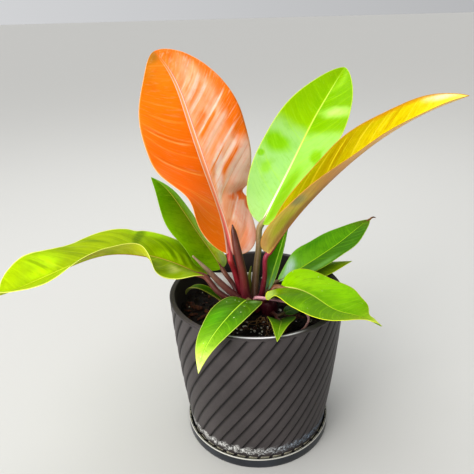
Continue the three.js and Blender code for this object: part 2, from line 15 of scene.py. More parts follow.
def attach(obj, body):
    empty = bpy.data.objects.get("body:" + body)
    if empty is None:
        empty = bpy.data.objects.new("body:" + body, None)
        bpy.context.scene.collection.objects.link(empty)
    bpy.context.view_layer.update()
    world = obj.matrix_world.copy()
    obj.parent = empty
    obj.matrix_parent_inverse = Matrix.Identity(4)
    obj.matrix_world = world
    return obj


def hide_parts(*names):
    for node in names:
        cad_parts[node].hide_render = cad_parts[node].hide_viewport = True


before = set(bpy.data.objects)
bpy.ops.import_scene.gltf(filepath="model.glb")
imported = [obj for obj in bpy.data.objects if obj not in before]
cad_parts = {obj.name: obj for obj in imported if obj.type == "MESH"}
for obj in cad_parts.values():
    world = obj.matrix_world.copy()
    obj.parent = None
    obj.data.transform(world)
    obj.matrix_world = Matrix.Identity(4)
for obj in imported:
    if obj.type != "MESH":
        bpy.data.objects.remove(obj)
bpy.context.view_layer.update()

MM = 0.001

# The camera: lens and height as in the photograph, in a frame of 474 by 474 pixels
FRAME_PIXELS = 474
FOCAL_PIXELS = 520
SENSOR_WIDTH = 36
CAMERA_PLACE = (0, -0.43094, 0.40178)
CAMERA_TURN = (24.27, -2.24, -1.61)

# The lights. The sky has a strength at the horizon and overhead, and a share at its left and right
FLOOR_REACH = 15e3
SKY_STRENGTH = (0.5, 0.6)
SKY_SIDES = (1.35, 0.65)
SUN_POWER = 1.1
SUN_SPREAD = 50
SUN_PLACE = (-0.35, -0.45, 1.0)
AREA_LIGHTS = {
    "sky_panel": ((-0.15, 0.55, 1.3), (0, 0, 0.15), (1.3, 0.9), 6, (0.95, 0.98, 1.0)),
    "front_panel": ((-0.35, -1.1, 0.9), (0, 0, 0.15), (0.7, 0.6), 1.5, (1.0, 0.99, 0.97)),
    "low_left_panel": ((-1.1, -1.25, 0.4), (0, 0, 0.08), (0.8, 0.5), 14, (1.0, 0.98, 0.96)),
}

# The pot and its saucer, in millimetres
POT_FOOT_Z = 4.3
POT_TOP_Z = 153.3
POT_FOOT_RADIUS = 68
POT_RIM_RADIUS = 82
POT_BELLY = 2.3
POT_WALL = 2.6
POT_FLOOR = 3
LIP_HEIGHT = 1.7
LIP_ROUND = 1.1
BORE_ROUND = 1.0
BORE_TOP_RADIUS = 77
FLUTES = 38
FLUTE_DEPTH = 1.5
FLUTE_TWIST = 0.49
FLUTE_START = 1.35 - 30 * FLUTE_TWIST
FLUTE_SLICES = 16
FLUTE_FOOT = (8.2, 11.5)
CRUST_RISE = (12.5, 15)
CRUST_FALL = (19, 24)
CRUST_HEIGHT = 0.45
DRAIN_RADIUS = 5
DRAIN_CIRCLE_RADIUS = 34
DRAINS = 6
SAUCER_RIM_RADIUS = 72.8
SAUCER_FOOT_RADIUS = 72.4
SAUCER_HEIGHT = 10.8
SAUCER_WALL = 2.2
SAUCER_FLOOR = 4
SAUCER_SLICES = 160

# The soil, in millimetres. Pale grains in front of the stem and bark at the left are x, y and scale
SOIL_Z = 128
SOIL_SECTORS = 150
SOIL_RINGS = 62
STEM_PLACE = (12.5, -3)
STEM_CLEARANCE = 13
LITTER_REACH = 70
CRUMBS = 620
BARK_CHIPS = 46
NEAR_GRAINS = 30
FAR_GRAINS = 34
PERLITE = [
    (-9, -19, 1.0), (-11, -27, 1.25), (-2, -34, 1.1), (2, -40, 0.8), (7, -28, 0.8), (19, -16, 1.1),
    (23, -1, 1.1), (29, -8, 0.9), (31, -19, 0.9), (50, -22, 1.0), (39, -35, 0.7), (-18, -31, 0.7),
]
LEFT_BARK = [
    (-58, 4, 1.4), (-52, -12, 1.2), (-64, 10, 1.3), (-47, -19, 1.0), (-60, -9, 1.1), (-66, -2, 0.9),
]
ROOTS = 12
ROOT_POINTS = 9

# What the leaves share, in millimetres where it is a length
NECK_HALF_WIDTH = 1.6
KEEL_SOFTNESS = 0.06
SPINE_STEPS = 60
SECTION_STEPS = 24
LOBE_POWER = 8
LOBE_HALF_WIDTH = 6
LEAF_GAP = 0.35
PETIOLE_LEAD = 5
BLADE_ROWS_PER_MM = 0.75
FEWEST_BLADE_ROWS = 40
HALF_COLUMNS_WIDE = 34
HALF_COLUMNS_SLIM = 22
SLIM_WIDTH = 50
SLOPE_STEP = 0.003
BLADE_THICKNESS = 0.62
MARGIN_THICKNESS = 0.4
RIB_DEPTH = 1.9
RIB_SHADE_WIDTH = 0.6
UNDERSIDE = dict(roughness=0.5, gloss=0.15)
# Where a petiole runs on under its blade: s, how deep and how thick, as shares of its radius
KEEL = np.array([(0.02, 0.55, 0.85), (0.05, 0.6, 0.6), (0.09, 0.5, 0.42), (0.14, 0.35, 0.2)])
# How the dry tip curls on from the blade's end: forwards, to its right and up, and its radii
DRY_TIP_CURL = ((2.6, 0.4, 0.6), (5.0, 1.2, 0.2), (6.4, 2.2, -1.0))
DRY_TIP_RADII = (1.5, 1.35, 1.1, 0.9, 0.75, 0.35)

# Each blade, in millimetres and degrees. Lists of values run from base to tip
LEAVES = {
    "orange_leaf": dict(
        slot="orange_blade", start=(-24, -1, 190), length=209, width=114, rise=(43, 55, 61, 62, 43),
        heading=(99, 124, 130, 133, 154), roll=(-37, -31, 1, 19, 27), widest=0.43, taper=0.6, curl=5,
        fold=(2,), skew=0.04, wave=(1.6, 3, 0.1), sweep=(0.08, 0.13, 0.25, 0),
        pleats=(0.35, 13, 0.9, 9), pinches=((0.29, 0.02, 1, 0.1, -3.2), (0.33, 0.025, 1, 0, 1.6)),
        groove=0.9,
    ),
    "lime_leaf": dict(
        slot="lime_blade", start=(6, 30.6, 207), length=175, width=90, rise=(58, 56, 52, 43, 43),
        heading=(32, 34, 44, 46, 46), roll=(-14, -7, -16, -21, -19), widest=0.38, taper=0.75, curl=13,
        fold=(28,), skew=0.2, wave=(1, 2.5, 0.3), sweep=(0.12, 0.12, 0.14, 0.1),
        pleats=(0.25, 12, 0.25, 12),
    ),
    "yellow_leaf": dict(
        slot="yellow_blade", start=(11.6, -8, 194.8), length=214, width=70, rise=(58, 48, 41, 31, 19),
        heading=(12, 9, 5, -1, -8), roll=(-8, -14, -16, -15, -11), widest=0.33, taper=0.82, curl=8,
        fold=(80, 98, 98, 93, 67), fold_right=(65, 53, 42, 32, 27), slim=(0.45, 0.7, 0.92, 0.97, 1),
        skew=0.07, wave=(0.8, 3, 0.2), sweep=(0.2, 0.16, 0.16, 0.1), pleats=(0.35, 12, 0.3, 12),
    ),
    "left_leaf": dict(
        slot="yellow_green_blade", start=(-51.7, -0.4, 168.8), length=187, width=80,
        rise=(30, 23, 14, -9, -17, -17), heading=(177, 186, 205, 210, 200, 189),
        roll=(-12, -7, -2, 0, 7, 7), widest=0.41, taper=0.28, curl=-8,
        fold=(24, 2, 4, 36, 37, 34, 28, 34, 45), fold_right=(11, 22, 23, 19, 11, 6, 12, 29, 27),
        wave=(0.4, 3, 0), lobe=2, lobe_right=8, sweep=(0.12, 0.08, 0.12, 0.1),
        pleats=(0.4, 13, 0.5, 13), pinches=((0.328, 0.02, 1, 0.02, -1.2),),
    ),
    "back_leaf": dict(
        slot="dark_green_blade", start=(-32.4, 13, 168), length=113, width=65,
        rise=(48, 48, 51, 47, 29), heading=(139, 150, 150, 152, 166), roll=(0, -20, -18, -11, -5),
        widest=0.39, taper=0.86, curl=-5, fold=(-13,), wave=(0.8, 2.5, 0), sweep=(0.14, 0.1, 0.14, 0.1),
    ),
    "right_upper_leaf": dict(
        slot="green_blade", start=(21.1, 26.5, 145.5), length=131, width=58.5,
        rise=(26, 19, 14, 15, 14), heading=(14, 28, 37, 42, 38), roll=(10, 7, 10, 12, 7), widest=0.44,
        taper=0.92, curl=3, fold=(8,), wave=(0.8, 2.5, 0.2), sweep=(0.12, 0.08, 0.12, 0.08),
    ),
    "right_large_leaf": dict(
        slot="light_green_blade", start=(21.9, -10.6, 160.7), length=107.5, width=73,
        rise=(15, 4, -1, 9, -25), heading=(-26, -48, -57, -38, -22), roll=(-13, 7, 6, 7, 34),
        widest=0.35, taper=0.64, curl=3, fold=(6,), wave=(0.8, 2, 0), lobe=0, lobe_right=11,
        sweep=(0.1, 0.12, 0.1, 0.12), pleats=(0.3, 11, 0.3, 11),
        pinches=((0.89, 0.045, 1, 0.45, 0), (0.89, 0.045, -1, 0.45, 0)),
    ),
    "right_low_leaf": dict(
        slot="green_blade", start=(43.5, 23.6, 153.4), length=60, width=28, rise=(16, 4, -8),
        heading=(25, 24, 19), roll=(-8, 4, 16), widest=0.4, taper=0.93, curl=-7, fold=(-9,),
        pleats=(0.15, 10, 0.15, 10),
    ),
    "centre_leaf": dict(
        slot="dark_green_blade", start=(10.6, 5, 148.5), length=70, width=28, rise=(63, 62, 63),
        heading=(48, 49, 51), roll=(-31, -21, -11), widest=0.46, taper=0.58, curl=48, fold=(40,),
        pleats=(0.15, 11, 0.15, 11),
    ),
    "front_leaf": dict(
        slot="light_green_blade", start=(-7.6, -14.3, 149.2), length=111, width=41,
        rise=(35, 13, -5, -21, -46), heading=(263, 251, 242, 242, 258), roll=(7, -4, -14, -14, -34),
        widest=0.4, taper=1.03, curl=1, fold=(4,), wave=(0.6, 2.5, 0.1), lobe=9,
        pleats=(0.25, 11, 0.25, 11),
    ),
    "front_small_leaf": dict(
        slot="green_blade", start=(20.5, -30, 137.5), length=62, width=26, rise=(32, 28, 18, -35),
        heading=(278, 268, 262, 258), roll=(2, 1, 0, -2), widest=0.32, taper=1, curl=8, fold=(14,),
        pleats=(0.15, 9, 0.15, 9),
    ),
    "left_small_leaf": dict(
        slot="green_blade", start=(-31.6, -3.4, 141.3), length=48, width=11, rise=(33, 20, -15, -64),
        heading=(170, 155, 152, 156), roll=(4, -2, -8, -7), widest=0.52, taper=0.7, curl=14, fold=(22,),
        pleats=(0.1, 8, 0.1, 8),
    ),
    "inner_small_leaf": dict(
        slot="dark_green_blade", start=(25.4, -18.6, 137.6), length=18, width=15, rise=(19, 3, -10),
        heading=(20, 16, 14), roll=(-10, 1, 11), widest=0.45, taper=0.77, curl=0, fold=(2,),
        pleats=(0.08, 6, 0.08, 6),
    ),
}

# Each stalk: its points from inside the crown outwards, its radii, the colours along it, the colour
# and share of the painted shade on its far side and, where it has one, its leaf
STALKS = {
    "stem": dict(
        points=[(12.5, -3, 106), (12.5, -3, 126), (11, -3, 137), (1, -2, 143.5)], radii=(8.2, 8, 8, 6),
        ramp={0: "3a1018", 0.6: "561828", 1: "5a1c2c"}, roughness=0.42,
    ),
    "leaf_spear": dict(
        points=[
            (2, -4, 132), (-8, -4, 143), (-12, -3, 170), (-17, -1, 195), (-19.7, 0.4, 212),
            (-20.7, 1, 219),
        ],
        radii=(4.4, 4.7, 4.1, 3.8, 2.5, 0.6), seam=(-1, -0.25, 0),
        ramp={0: "5c1428", 0.35: "6e2430", 0.6: "74382e", 0.85: "6a3a30", 1: "3d1a1d"},
        side=("5a2c28", 0.9),
    ),
    "left_sheath": dict(
        points=[(-2, -4, 134), (-16, -5, 145), (-32, -8, 163), (-44, -10, 178.5), (-57, -11, 194)],
        radii=(4, 3.4, 2.9, 2.2, 0.9),
        ramp={0: "4c2426", 0.4: "6c3c3a", 0.6: "80584c", 0.75: "988068", 1: "a8927c"},
        side=("3c181c", 0.5),
    ),
    "slim_bract": dict(
        points=[(0, 2, 134), (-5, 7, 147), (-6.5, 9, 160), (-4.5, 10, 172)], radii=(2, 2, 1.8, 0.6),
        ramp={0: "5a3020", 0.4: "6d6a2a", 1: "7d8a32"}, side=("4a2018", 0.5),
    ),
    "orange_petiole": dict(
        leaf="orange_leaf", points=[(-3, -1, 134), (-12.5, 1, 144), (-16.5, 2, 157), (-20.5, 1, 174)],
        radii=(3.8, 3.6, 3.2, 2.8), ramp={0: "4a0e1a", 0.45: "8a1c30", 0.75: "b03a3c", 1: "e07a5a"},
        side=("4c0c1c", 0.75),
    ),
    "left_petiole": dict(
        leaf="left_leaf", points=[(-3, -5, 132), (-20, -6, 142), (-36, -5, 153)], radii=(3, 2.9, 2.7),
        ramp={0: "401c1c", 0.5: "5c302c", 1: "b87868"}, side=("4a1a22", 0.6),
    ),
    "back_petiole": dict(
        leaf="back_leaf", points=[(-4, 0, 134), (-16, 3, 144), (-23, 8, 155)], radii=(2.6, 2.4, 2.2),
        ramp={0: "3a181c", 0.6: "64302e", 1: "a07048"}, side=("40181c", 0.6),
    ),
    "lime_petiole": dict(
        leaf="lime_leaf", points=[(0, 0, 134), (-1.5, 3, 142), (0, 13, 164), (3, 23, 186)],
        radii=(3.6, 3.6, 3.4, 3), ramp={0: "4a2424", 0.35: "7a6044", 0.7: "94845a", 1: "c0b47c"},
        side=("3f1c20", 0.8),
    ),
    "yellow_petiole": dict(
        leaf="yellow_leaf", points=[(3, -3, 134), (4, -5, 143), (8, -7, 170)], radii=(3.2, 2.9, 2.3),
        ramp={0: "440c1a", 0.35: "6c1c2e", 0.7: "901c3c", 1: "d06484"}, side=("4c1020", 0.5),
    ),
    "right_upper_petiole": dict(
        leaf="right_upper_leaf", points=[(3, 1, 133), (6, 12, 137), (13, 21, 141)],
        radii=(2.6, 2.5, 2.4), ramp={0: "40161c", 0.5: "6e3430", 1: "8a8a40"}, side=("38141a", 0.5),
    ),
    "right_large_petiole": dict(
        leaf="right_large_leaf", points=[(5, -4, 134), (8, -7, 144), (15, -9, 155)],
        radii=(2.8, 2.7, 2.6), ramp={0: "4a161e", 0.5: "76302e", 1: "a08a48"}, side=("3c1218", 0.5),
    ),
    "front_petiole": dict(
        leaf="front_leaf", points=[(0, -5, 134), (-3, -9, 142)], radii=(2.6, 2.5),
        ramp={0: "5a2a26", 0.45: "8a6a48", 1: "a0a860"}, side=("46201c", 0.4),
    ),
    "centre_petiole": dict(
        leaf="centre_leaf", points=[(4, -1, 134), (8, 3, 142)], radii=(2.4, 2.2),
        ramp={0: "3a1418", 0.5: "5c3028", 1: "6a7a3a"}, side=("30101a", 0.5),
    ),
    "right_low_petiole": dict(
        leaf="right_low_leaf", points=[(5, 1, 133), (16, 7, 139), (30, 15, 146)], radii=(2.2, 2.1, 2),
        ramp={0: "40161c", 0.5: "6a3a30", 1: "7a7a3a"}, side=("38141a", 0.5),
    ),
    "front_small_petiole": dict(
        leaf="front_small_leaf", points=[(12, -4, 130), (16.5, -14, 134.5)], radii=(1.8, 1.7),
        ramp={0: "40161c", 0.6: "6e3a34", 1: "8a7a48"}, side=("38141a", 0.4),
    ),
    "left_small_petiole": dict(
        leaf="left_small_leaf", points=[(-2, -5, 132), (-16, -4, 137)], radii=(2.2, 1.9),
        ramp={0: "46181e", 0.6: "743a38", 1: "9a7a54"}, side=("38141a", 0.4),
    ),
    "inner_small_petiole": dict(
        leaf="inner_small_leaf", points=[(12, -4, 130), (16, -15, 134.5)], radii=(1.8, 1.6),
        ramp={0: "40161c", 0.6: "5e302c", 1: "6a6a3a"}, side=("38141a", 0.4),
    ),
    "old_petiole": dict(
        points=[
            (-2, -4, 142), (0, -11, 149.5), (11, -15, 151), (22, -19, 151), (32, -22, 149.5),
            (42, -26, 145), (47.5, -29, 139), (44, -35, 133.5), (39.5, -39, 131.5),
        ],
        radii=(1.8, 1.8, 1.6, 1.3, 1.1, 1.1, 1.2, 1.2, 1),
        ramp={0: "cc8890", 0.25: "f4b8c4", 0.5: "e8a4b4", 0.8: "ffc8cc", 1: "e0a49c"},
        side=("a06878", 0.35), streaks=("7a3a48", 0.3), roughness=0.5,
    ),
}

# The skins of the blades. s runs along the midrib and u across the blade. A patch is colour, share, s,
# u, radius s, radius u, sweep and softness. A band is colour, share, where it leaves the midrib, its
# half width, and u where it starts and ends
UPPER_SKINS = {
    "orange_leaf": dict(
        ramp={0: "fa7c14", 0.15: "fa760c", 0.3: "f86c04", 0.55: "f47204", 0.85: "f4860a", 1: "c88418"},
        # The right half's pink is partly the young leaf's own tint and partly a painted sheen of
        # reflected sky.
        other_half={
            0: "ffa88c", 0.25: "ffb094", 0.5: "ffac80", 0.75: "fca078", 0.9: "fc9c60", 1: "f07c20",
        },
        # The pale pink and near-white patches are painted highlights of reflected sky.
        patches=[
            ("fcb890", 0.8, 0.86, 0.5, 0.07, 0.28, 0.25, 0.6),
            ("ffdcd0", 0.85, 0.42, 0.68, 0.1, 0.26, 0.1, 0.7),
            ("fcc4a8", 0.7, 0.655, 0.5, 0.035, 0.3, 0.1, 0.7),
            ("f87c10", 0.97, 0.63, 0.95, 0.12, 0.33, 0, 0.35),
            ("e87810", 0.9, 0.97, 0.5, 0.07, 0.7, 0, 0.7), ("f07410", 0.9, 0.8, 1, 0.18, 0.24, 0, 0.5),
            ("ffd4c8", 0.9, 0.41, 0.93, 0.09, 0.16, 0, 0.6),
            ("ffc8b8", 0.85, 0.17, 0.66, 0.09, 0.4, 0.1, 0.6),
            ("ffd4c8", 0.8, 0.04, 0.84, 0.05, 0.14, 0.1, 0.7),
            ("f48c50", 0.6, 0.09, 0.6, 0.05, 0.14, 0.1, 0.7),
            ("ffe0e4", 0.95, 0.355, 0.22, 0.06, 0.16, 0.7, 0.6),
            # These two deep orange patches are painted shadow in the fold at the leaf's waist.
            ("f07008", 0.97, 0.278, 0.82, 0.02, 0.4, 0.02, 0.35),
            ("f07008", 0.9, 0.24, 0.98, 0.03, 0.12, 0, 0.5),
            ("f07a28", 0.6, 0.09, 0.25, 0.06, 0.18, 0.1, 0.7),
            ("f08a1c", 0.7, 0.9, -0.3, 0.07, 0.4, 0, 0.8),
            ("a8741c", 0.7, 0.985, -0.4, 0.03, 0.5, 0, 0.7),
        ],
        bands=[
            ("f9a050", 0.8, 0.372, 0.006, -1, -0.04), ("f9a050", 0.8, 0.522, 0.006, -1, -0.04),
            ("f89c40", 0.5, 0.63, 0.006, -0.9, -0.04), ("f89c40", 0.5, 0.222, 0.006, -0.9, -0.04),
            ("dc6404", 0.55, 0.385, 0.01, -0.95, -0.04), ("dc6404", 0.5, 0.535, 0.01, -0.95, -0.04),
            # On the right half the pale bands are painted highlights along the pleats, and the deep
            # orange bands beside them are partly the leaf's own orange and partly painted shade in the
            # folds.
            ("fc8838", 0.85, 0.585, 0.022, -0.01, 0.4), ("f07c14", 0.95, 0.533, 0.012, 0.02, 0.62),
            ("ffdccc", 0.95, 0.551, 0.006, 0, 0.95), ("fc9c68", 0.7, 0.64, 0.008, 0.02, 0.6),
            ("ffc8b4", 0.75, 0.66, 0.01, 0.02, 0.7), ("f88c50", 0.7, 0.69, 0.008, 0.02, 0.66),
            ("ffc4b0", 0.75, 0.715, 0.012, 0.02, 0.7), ("f88c50", 0.7, 0.75, 0.007, 0.05, 0.6),
            ("ffd0bc", 0.9, 0.47, 0.02, 0.04, 0.8), ("f48430", 0.85, 0.374, 0.005, 0.04, 0.5),
            ("ffdcd0", 0.95, 0.387, 0.008, 0.02, 0.9), ("f49048", 0.6, 0.425, 0.008, 0.1, 0.7),
            ("f4780c", 0.97, 0.29, 0.016, 0.24, 0.84), ("ffdcd0", 0.85, 0.325, 0.01, 0.1, 0.85),
            ("ffdcd4", 0.8, 0.24, 0.01, 0.1, 0.7), ("f8a078", 0.7, 0.12, 0.008, 0.2, 0.9),
            ("ffe4dc", 0.8, 0.1, 0.006, 0.25, 0.8),
        ],
        veins=("fa9a44", 0.4, 13, 0.13), streaks=("ffdccc", 0.4, "f47820", 0.35), calm_left=0.22,
        # The midrib's pale edges are a painted highlight.
        rib=("ff9c60", 8.4), rib_root="e86c70", rib_edge_highlight="ffd8cc", rib_shade=("d85048", 0.95),
        margin=("f8b070", 0.5), mottle=("f06a08", 0.3),
    ),
    # Up to s 0.55 both halves are pale mint: a painted sheen of reflected sky over the leaf's lime
    # green.
    "lime_leaf": dict(
        ramp={
            0: "bce498", 0.15: "98cc74", 0.4: "9ccc78", 0.52: "a0cc78", 0.545: "a0cc70", 0.58: "98c400",
            0.61: "94c000", 1: "94c000",
        },
        other_half={
            0: "a4d448", 0.3: "9cd858", 0.42: "98d05c", 0.52: "98cc64", 0.545: "98c858", 0.57: "80b000",
            0.6: "7cac00", 1: "74a400",
        },
        patches=[
            ("84c000", 0.97, 0.435, -0.66, 0.05, 0.4, 0, 0.5),
            ("7cbc02", 0.9, 0.35, -0.89, 0.02, 0.09, 0, 0.4),
            ("90cc30", 0.8, 0.29, -0.6, 0.032, 0.14, 0, 0.6),
            ("80b800", 0.95, 0.41, 0.7, 0.036, 0.26, -0.12, 0.4),
            ("80b800", 0.97, 0.17, 0.38, 0.18, 0.34, 0, 0.45),
            # A painted highlight.
            ("bce878", 0.85, 0.682, 0.58, 0.032, 0.42, 0, 0.7),
            ("a0cc30", 0.5, 0.9, 0.4, 0.04, 0.4, 0.14, 0.8),
            ("84b400", 0.4, 0.8, -0.4, 0.08, 0.5, 0.1, 0.8),
            ("88b000", 0.9, 0.97, -0.3, 0.08, 0.6, 0, 0.7),
        ],
        veins=("b0e018", 0.25, 12, 0.15), streaks=("b4e048", 0.2, "80b800", 0.25), rib=("c8e454", 2.8),
        rib_root="f0fadc", rib_shade=("70a400", 0.5), margin=("c8dc58", 0.6), mottle=("78b400", 0.3),
        gloss=0.05, coat=0.02,
    ),
    "yellow_leaf": dict(
        ramp={0: "b8c008", 0.25: "e4dc00", 0.5: "ccc400", 0.75: "e0d400", 0.9: "f0e030", 1: "f4ec90"},
        patches=[
            # A painted highlight near the tip.
            ("fcf4d8", 0.9, 0.9, -0.8, 0.05, 0.3, 0, 0.6),
            ("e0a020", 0.8, 0.76, -0.97, 0.15, 0.16, 0, 0.5),
            ("c0a800", 0.6, 0.5, -0.75, 0.1, 0.3, 0.2, 0.8),
            ("a8b808", 0.6, 0.33, -0.8, 0.1, 0.3, 0.2, 0.8),
            ("fcf020", 0.6, 0.64, -0.35, 0.1, 0.3, 0.2, 0.8),
        ],
        bands=[
            ("fcf040", 0.8, 0.36, 0.008, -0.95, -0.1), ("c8a800", 0.6, 0.385, 0.012, -0.9, -0.1),
            ("fcf040", 0.8, 0.5, 0.008, -0.95, -0.1), ("fcf040", 0.7, 0.62, 0.008, -0.95, -0.1),
            ("d8b004", 0.6, 0.655, 0.012, -0.95, -0.1), ("fcf040", 0.6, 0.25, 0.008, -0.95, -0.1),
        ],
        veins=("f8ec58", 0.5, 12, 0.14), streaks=("fcf050", 0.35, "d0a804", 0.4), rib=("e8d850", 2.2),
        rib_root="c87880", margin=("c08840", 0.6), mottle=("c8a808", 0.25),
    ),
    "left_leaf": dict(
        ramp={0: "94b000", 0.3: "88a800", 0.6: "8ca400", 0.8: "9cb800", 1: "b0c400"},
        other_half={
            0: "b4d400", 0.15: "98b800", 0.3: "8cac00", 0.4: "9cb400", 0.6: "8c9c00", 0.8: "94b400",
            1: "a4bc00",
        },
        patches=[
            ("e8f090", 0.7, 0.15, -0.5, 0.03, 0.2, 0, 0.8),
            ("b8e400", 0.8, 0.2, 0.2, 0.04, 0.14, 0, 0.7),
            ("b4e000", 0.8, 0.26, 0.88, 0.1, 0.12, 0, 0.7),
            ("bce000", 0.7, 0.8, 0.2, 0.05, 0.16, 0.1, 0.8),
            ("b4dc00", 0.8, 0.77, 0.6, 0.07, 0.3, 0.1, 0.7),
            # Painted shade in the crease at s 0.33.
            ("5c7c00", 0.85, 0.315, 0.72, 0.022, 0.4, -0.06, 0.6),
            ("6c8400", 0.7, 0.52, 0.72, 0.02, 0.24, 0.2, 0.7),
            ("788c00", 0.7, 0.62, 0.5, 0.03, 0.5, 0.12, 0.8),
            ("74901c", 0.75, 0.21, -0.62, 0.07, 0.22, 0, 0.8),
        ],
        bands=[
            ("c8e818", 0.85, 0.1, 0.012, 0.04, 0.55), ("748c00", 0.6, 0.075, 0.01, 0.04, 0.5),
            ("c8e818", 0.85, 0.05, 0.01, 0.04, 0.6), ("648400", 0.7, 0.13, 0.012, 0.1, 0.8),
            ("b8d808", 0.6, 0.7, 0.012, 0.1, 0.95), ("748c00", 0.6, 0.74, 0.01, 0.1, 0.9),
        ],
        veins=("c0d818", 0.35, 13, 0.15), streaks=("b8d410", 0.3, "788c00", 0.4), rib=("ccd838", 2),
        rib_root="dcb060", rib_shade=("607c00", 0.5), margin=("f4f880", 1), mottle=("748c00", 0.3),
        gloss=0.04, coat=0.02,
    ),
    "back_leaf": dict(
        ramp={0: "90c814", 0.2: "94d000", 0.5: "80bc00", 0.7: "6cac00", 1: "5c9c00"},
        # The right half's bright yellow-green is partly its own colour and partly painted light, raised
        # against the shade the orange leaf casts on it.
        other_half={0: "a8d470", 0.12: "e0ff30", 0.3: "b0f400", 0.7: "74d400", 1: "84cc20"},
        patches=[
            # A painted sheen of reflected sky at the base.
            ("b8dca0", 0.7, 0.08, 0.6, 0.05, 0.3, 0, 0.9),
            ("84b818", 0.5, 0.5, -0.4, 0.12, 0.4, 0.1, 0.9),
        ],
        veins=("8cc02c", 0.4, 12, 0.15), streaks=("90c430", 0.35, "489004", 0.4), rib=("d8ec60", 2.3),
        rib_shade=("3c6c04", 0.4), margin=("98b43c", 0.4), mottle=("448404", 0.4), gloss=0.01, coat=0,
    ),
    "right_upper_leaf": dict(
        ramp={
            0: "98cc78", 0.2: "80bc38", 0.35: "78b808", 0.5: "64a000", 0.7: "64a000", 0.85: "548800",
            1: "5c3c18",
        },
        other_half={
            0: "80b060", 0.2: "508404", 0.5: "4c8000", 0.8: "407400", 0.94: "5c7c04", 1: "5c3c18",
        },
        patches=[
            # These two pale bluish patches are painted reflections of the sky.
            ("d8ecf0", 0.8, 0.15, -0.5, 0.06, 0.34, 0.1, 0.9),
            ("c8e4e0", 0.6, 0.06, 0.5, 0.05, 0.5, 0, 0.9),
            ("98d070", 0.5, 0.3, 0.75, 0.12, 0.16, 0.1, 0.8),
            ("3c8400", 0.6, 0.5, -0.8, 0.16, 0.2, 0.1, 0.9),
        ],
        veins=("7cc008", 0.35, 12, 0.15), streaks=("78bc10", 0.35, "347400", 0.4), rib=("a8d028", 1.9),
        rib_shade=("2c6400", 0.5), margin=("a0c038", 0.5), mottle=("387c00", 0.35), gloss=0.03, coat=0,
    ),
    "right_large_leaf": dict(
        ramp={
            0: "a4dc00", 0.3: "98d800", 0.5: "8ccc00", 0.7: "7cb400", 0.84: "74a800", 0.93: "c8e438",
            1: "f8fc68",
        },
        # The right half is darker than the left as painted shade.
        other_half={
            0: "809c08", 0.25: "68a000", 0.5: "649800", 0.75: "70a000", 0.9: "a0b810", 1: "f0f450",
        },
        patches=[
            ("d8f080", 0.7, 0.03, 0.85, 0.05, 0.25, 0, 0.9),
            ("587c08", 0.6, 0.22, 0.5, 0.1, 0.3, 0, 0.9),
            ("78b000", 0.6, 0.45, -0.3, 0.1, 0.2, 0.1, 0.9),
            ("6ca400", 0.6, 0.5, -0.08, 0.4, 0.1, 0, 0.8),
            ("b0e818", 0.5, 0.2, -0.6, 0.08, 0.3, 0.1, 0.9),
            ("94d400", 0.7, 0.5, 0.8, 0.05, 0.24, 0.1, 0.9),
        ],
        veins=("a8dc10", 0.35, 11, 0.15), streaks=("a4d810", 0.3, "5c9400", 0.35), rib=("b8dc30", 2),
        rib_root="e0e080", rib_shade=("3c6400", 0.8), margin=("dce440", 0.7), mottle=("588c00", 0.35),
        specks=0.5, gloss=0.04, coat=0,
    ),
    "right_low_leaf": dict(
        ramp={0: "80b008", 0.5: "b0e400", 0.75: "bce800", 0.92: "f0f800", 1: "d0d430"},
        other_half={0: "688c18", 0.5: "88a818", 0.8: "a8c418", 1: "c0c830"},
        veins=("c0e030", 0.35, 10, 0.15), streaks=("c8e838", 0.3, "6c9404", 0.4), rib=("d0e840", 1.5),
        margin=("d4e840", 0.5), mottle=("5c8c04", 0.3),
    ),
    "centre_leaf": dict(
        ramp={0: "b8d8c8", 0.2: "6c9c28", 0.6: "589404", 1: "78b418"},
        veins=("74b028", 0.3, 11, 0.15), streaks=("88c038", 0.35, "387804", 0.4), rib=("a8cc48", 1.5),
        margin=("a0c050", 0.5), mottle=("3c7c04", 0.35),
    ),
    "front_leaf": dict(
        ramp={
            0: "608828", 0.15: "406400", 0.45: "447000", 0.6: "508800", 0.8: "80b000", 0.92: "e0f080",
            1: "f8fcc0",
        },
        patches=[
            ("a8cc88", 0.6, 0.2, -0.6, 0.04, 0.2, 0, 0.9),
            ("64b404", 0.5, 0.5, 0.5, 0.1, 0.3, 0.1, 0.9),
            ("b4e840", 0.6, 0.8, 0.3, 0.06, 0.4, 0.1, 0.9),
        ],
        veins=("80c00c", 0.35, 11, 0.15), streaks=("7cc008", 0.3, "2c7000", 0.35), rib=("b4dc40", 1.6),
        rib_shade=("2c6400", 0.5), margin=("d0e060", 0.45), mottle=("2c6c00", 0.35), specks=0.9,
    ),
    "front_small_leaf": dict(
        ramp={0: "446c14", 0.5: "447804", 1: "70940c"},
        veins=("70a020", 0.35, 9, 0.15), streaks=("78a828", 0.3, "285402", 0.4), rib=("90ac34", 1.4),
        margin=("a0b03c", 0.6), mottle=("2c5c02", 0.4),
    ),
    "left_small_leaf": dict(
        ramp={0: "447010", 0.5: "487c08", 1: "70900c"},
        veins=("6c9820", 0.3, 8, 0.15), streaks=("78a428", 0.3, "285402", 0.4), rib=("8ca434", 1.2),
        margin=("a8b044", 0.5), mottle=("2c5c02", 0.35),
    ),
    "inner_small_leaf": dict(
        ramp={0: "386414", 1: "4c7c14"},
        streaks=("6c9828", 0.3, "285402", 0.4), rib=("709038", 1.2), margin=("709038", 0.5),
        mottle=("1c4004", 0.35),
    ),
}
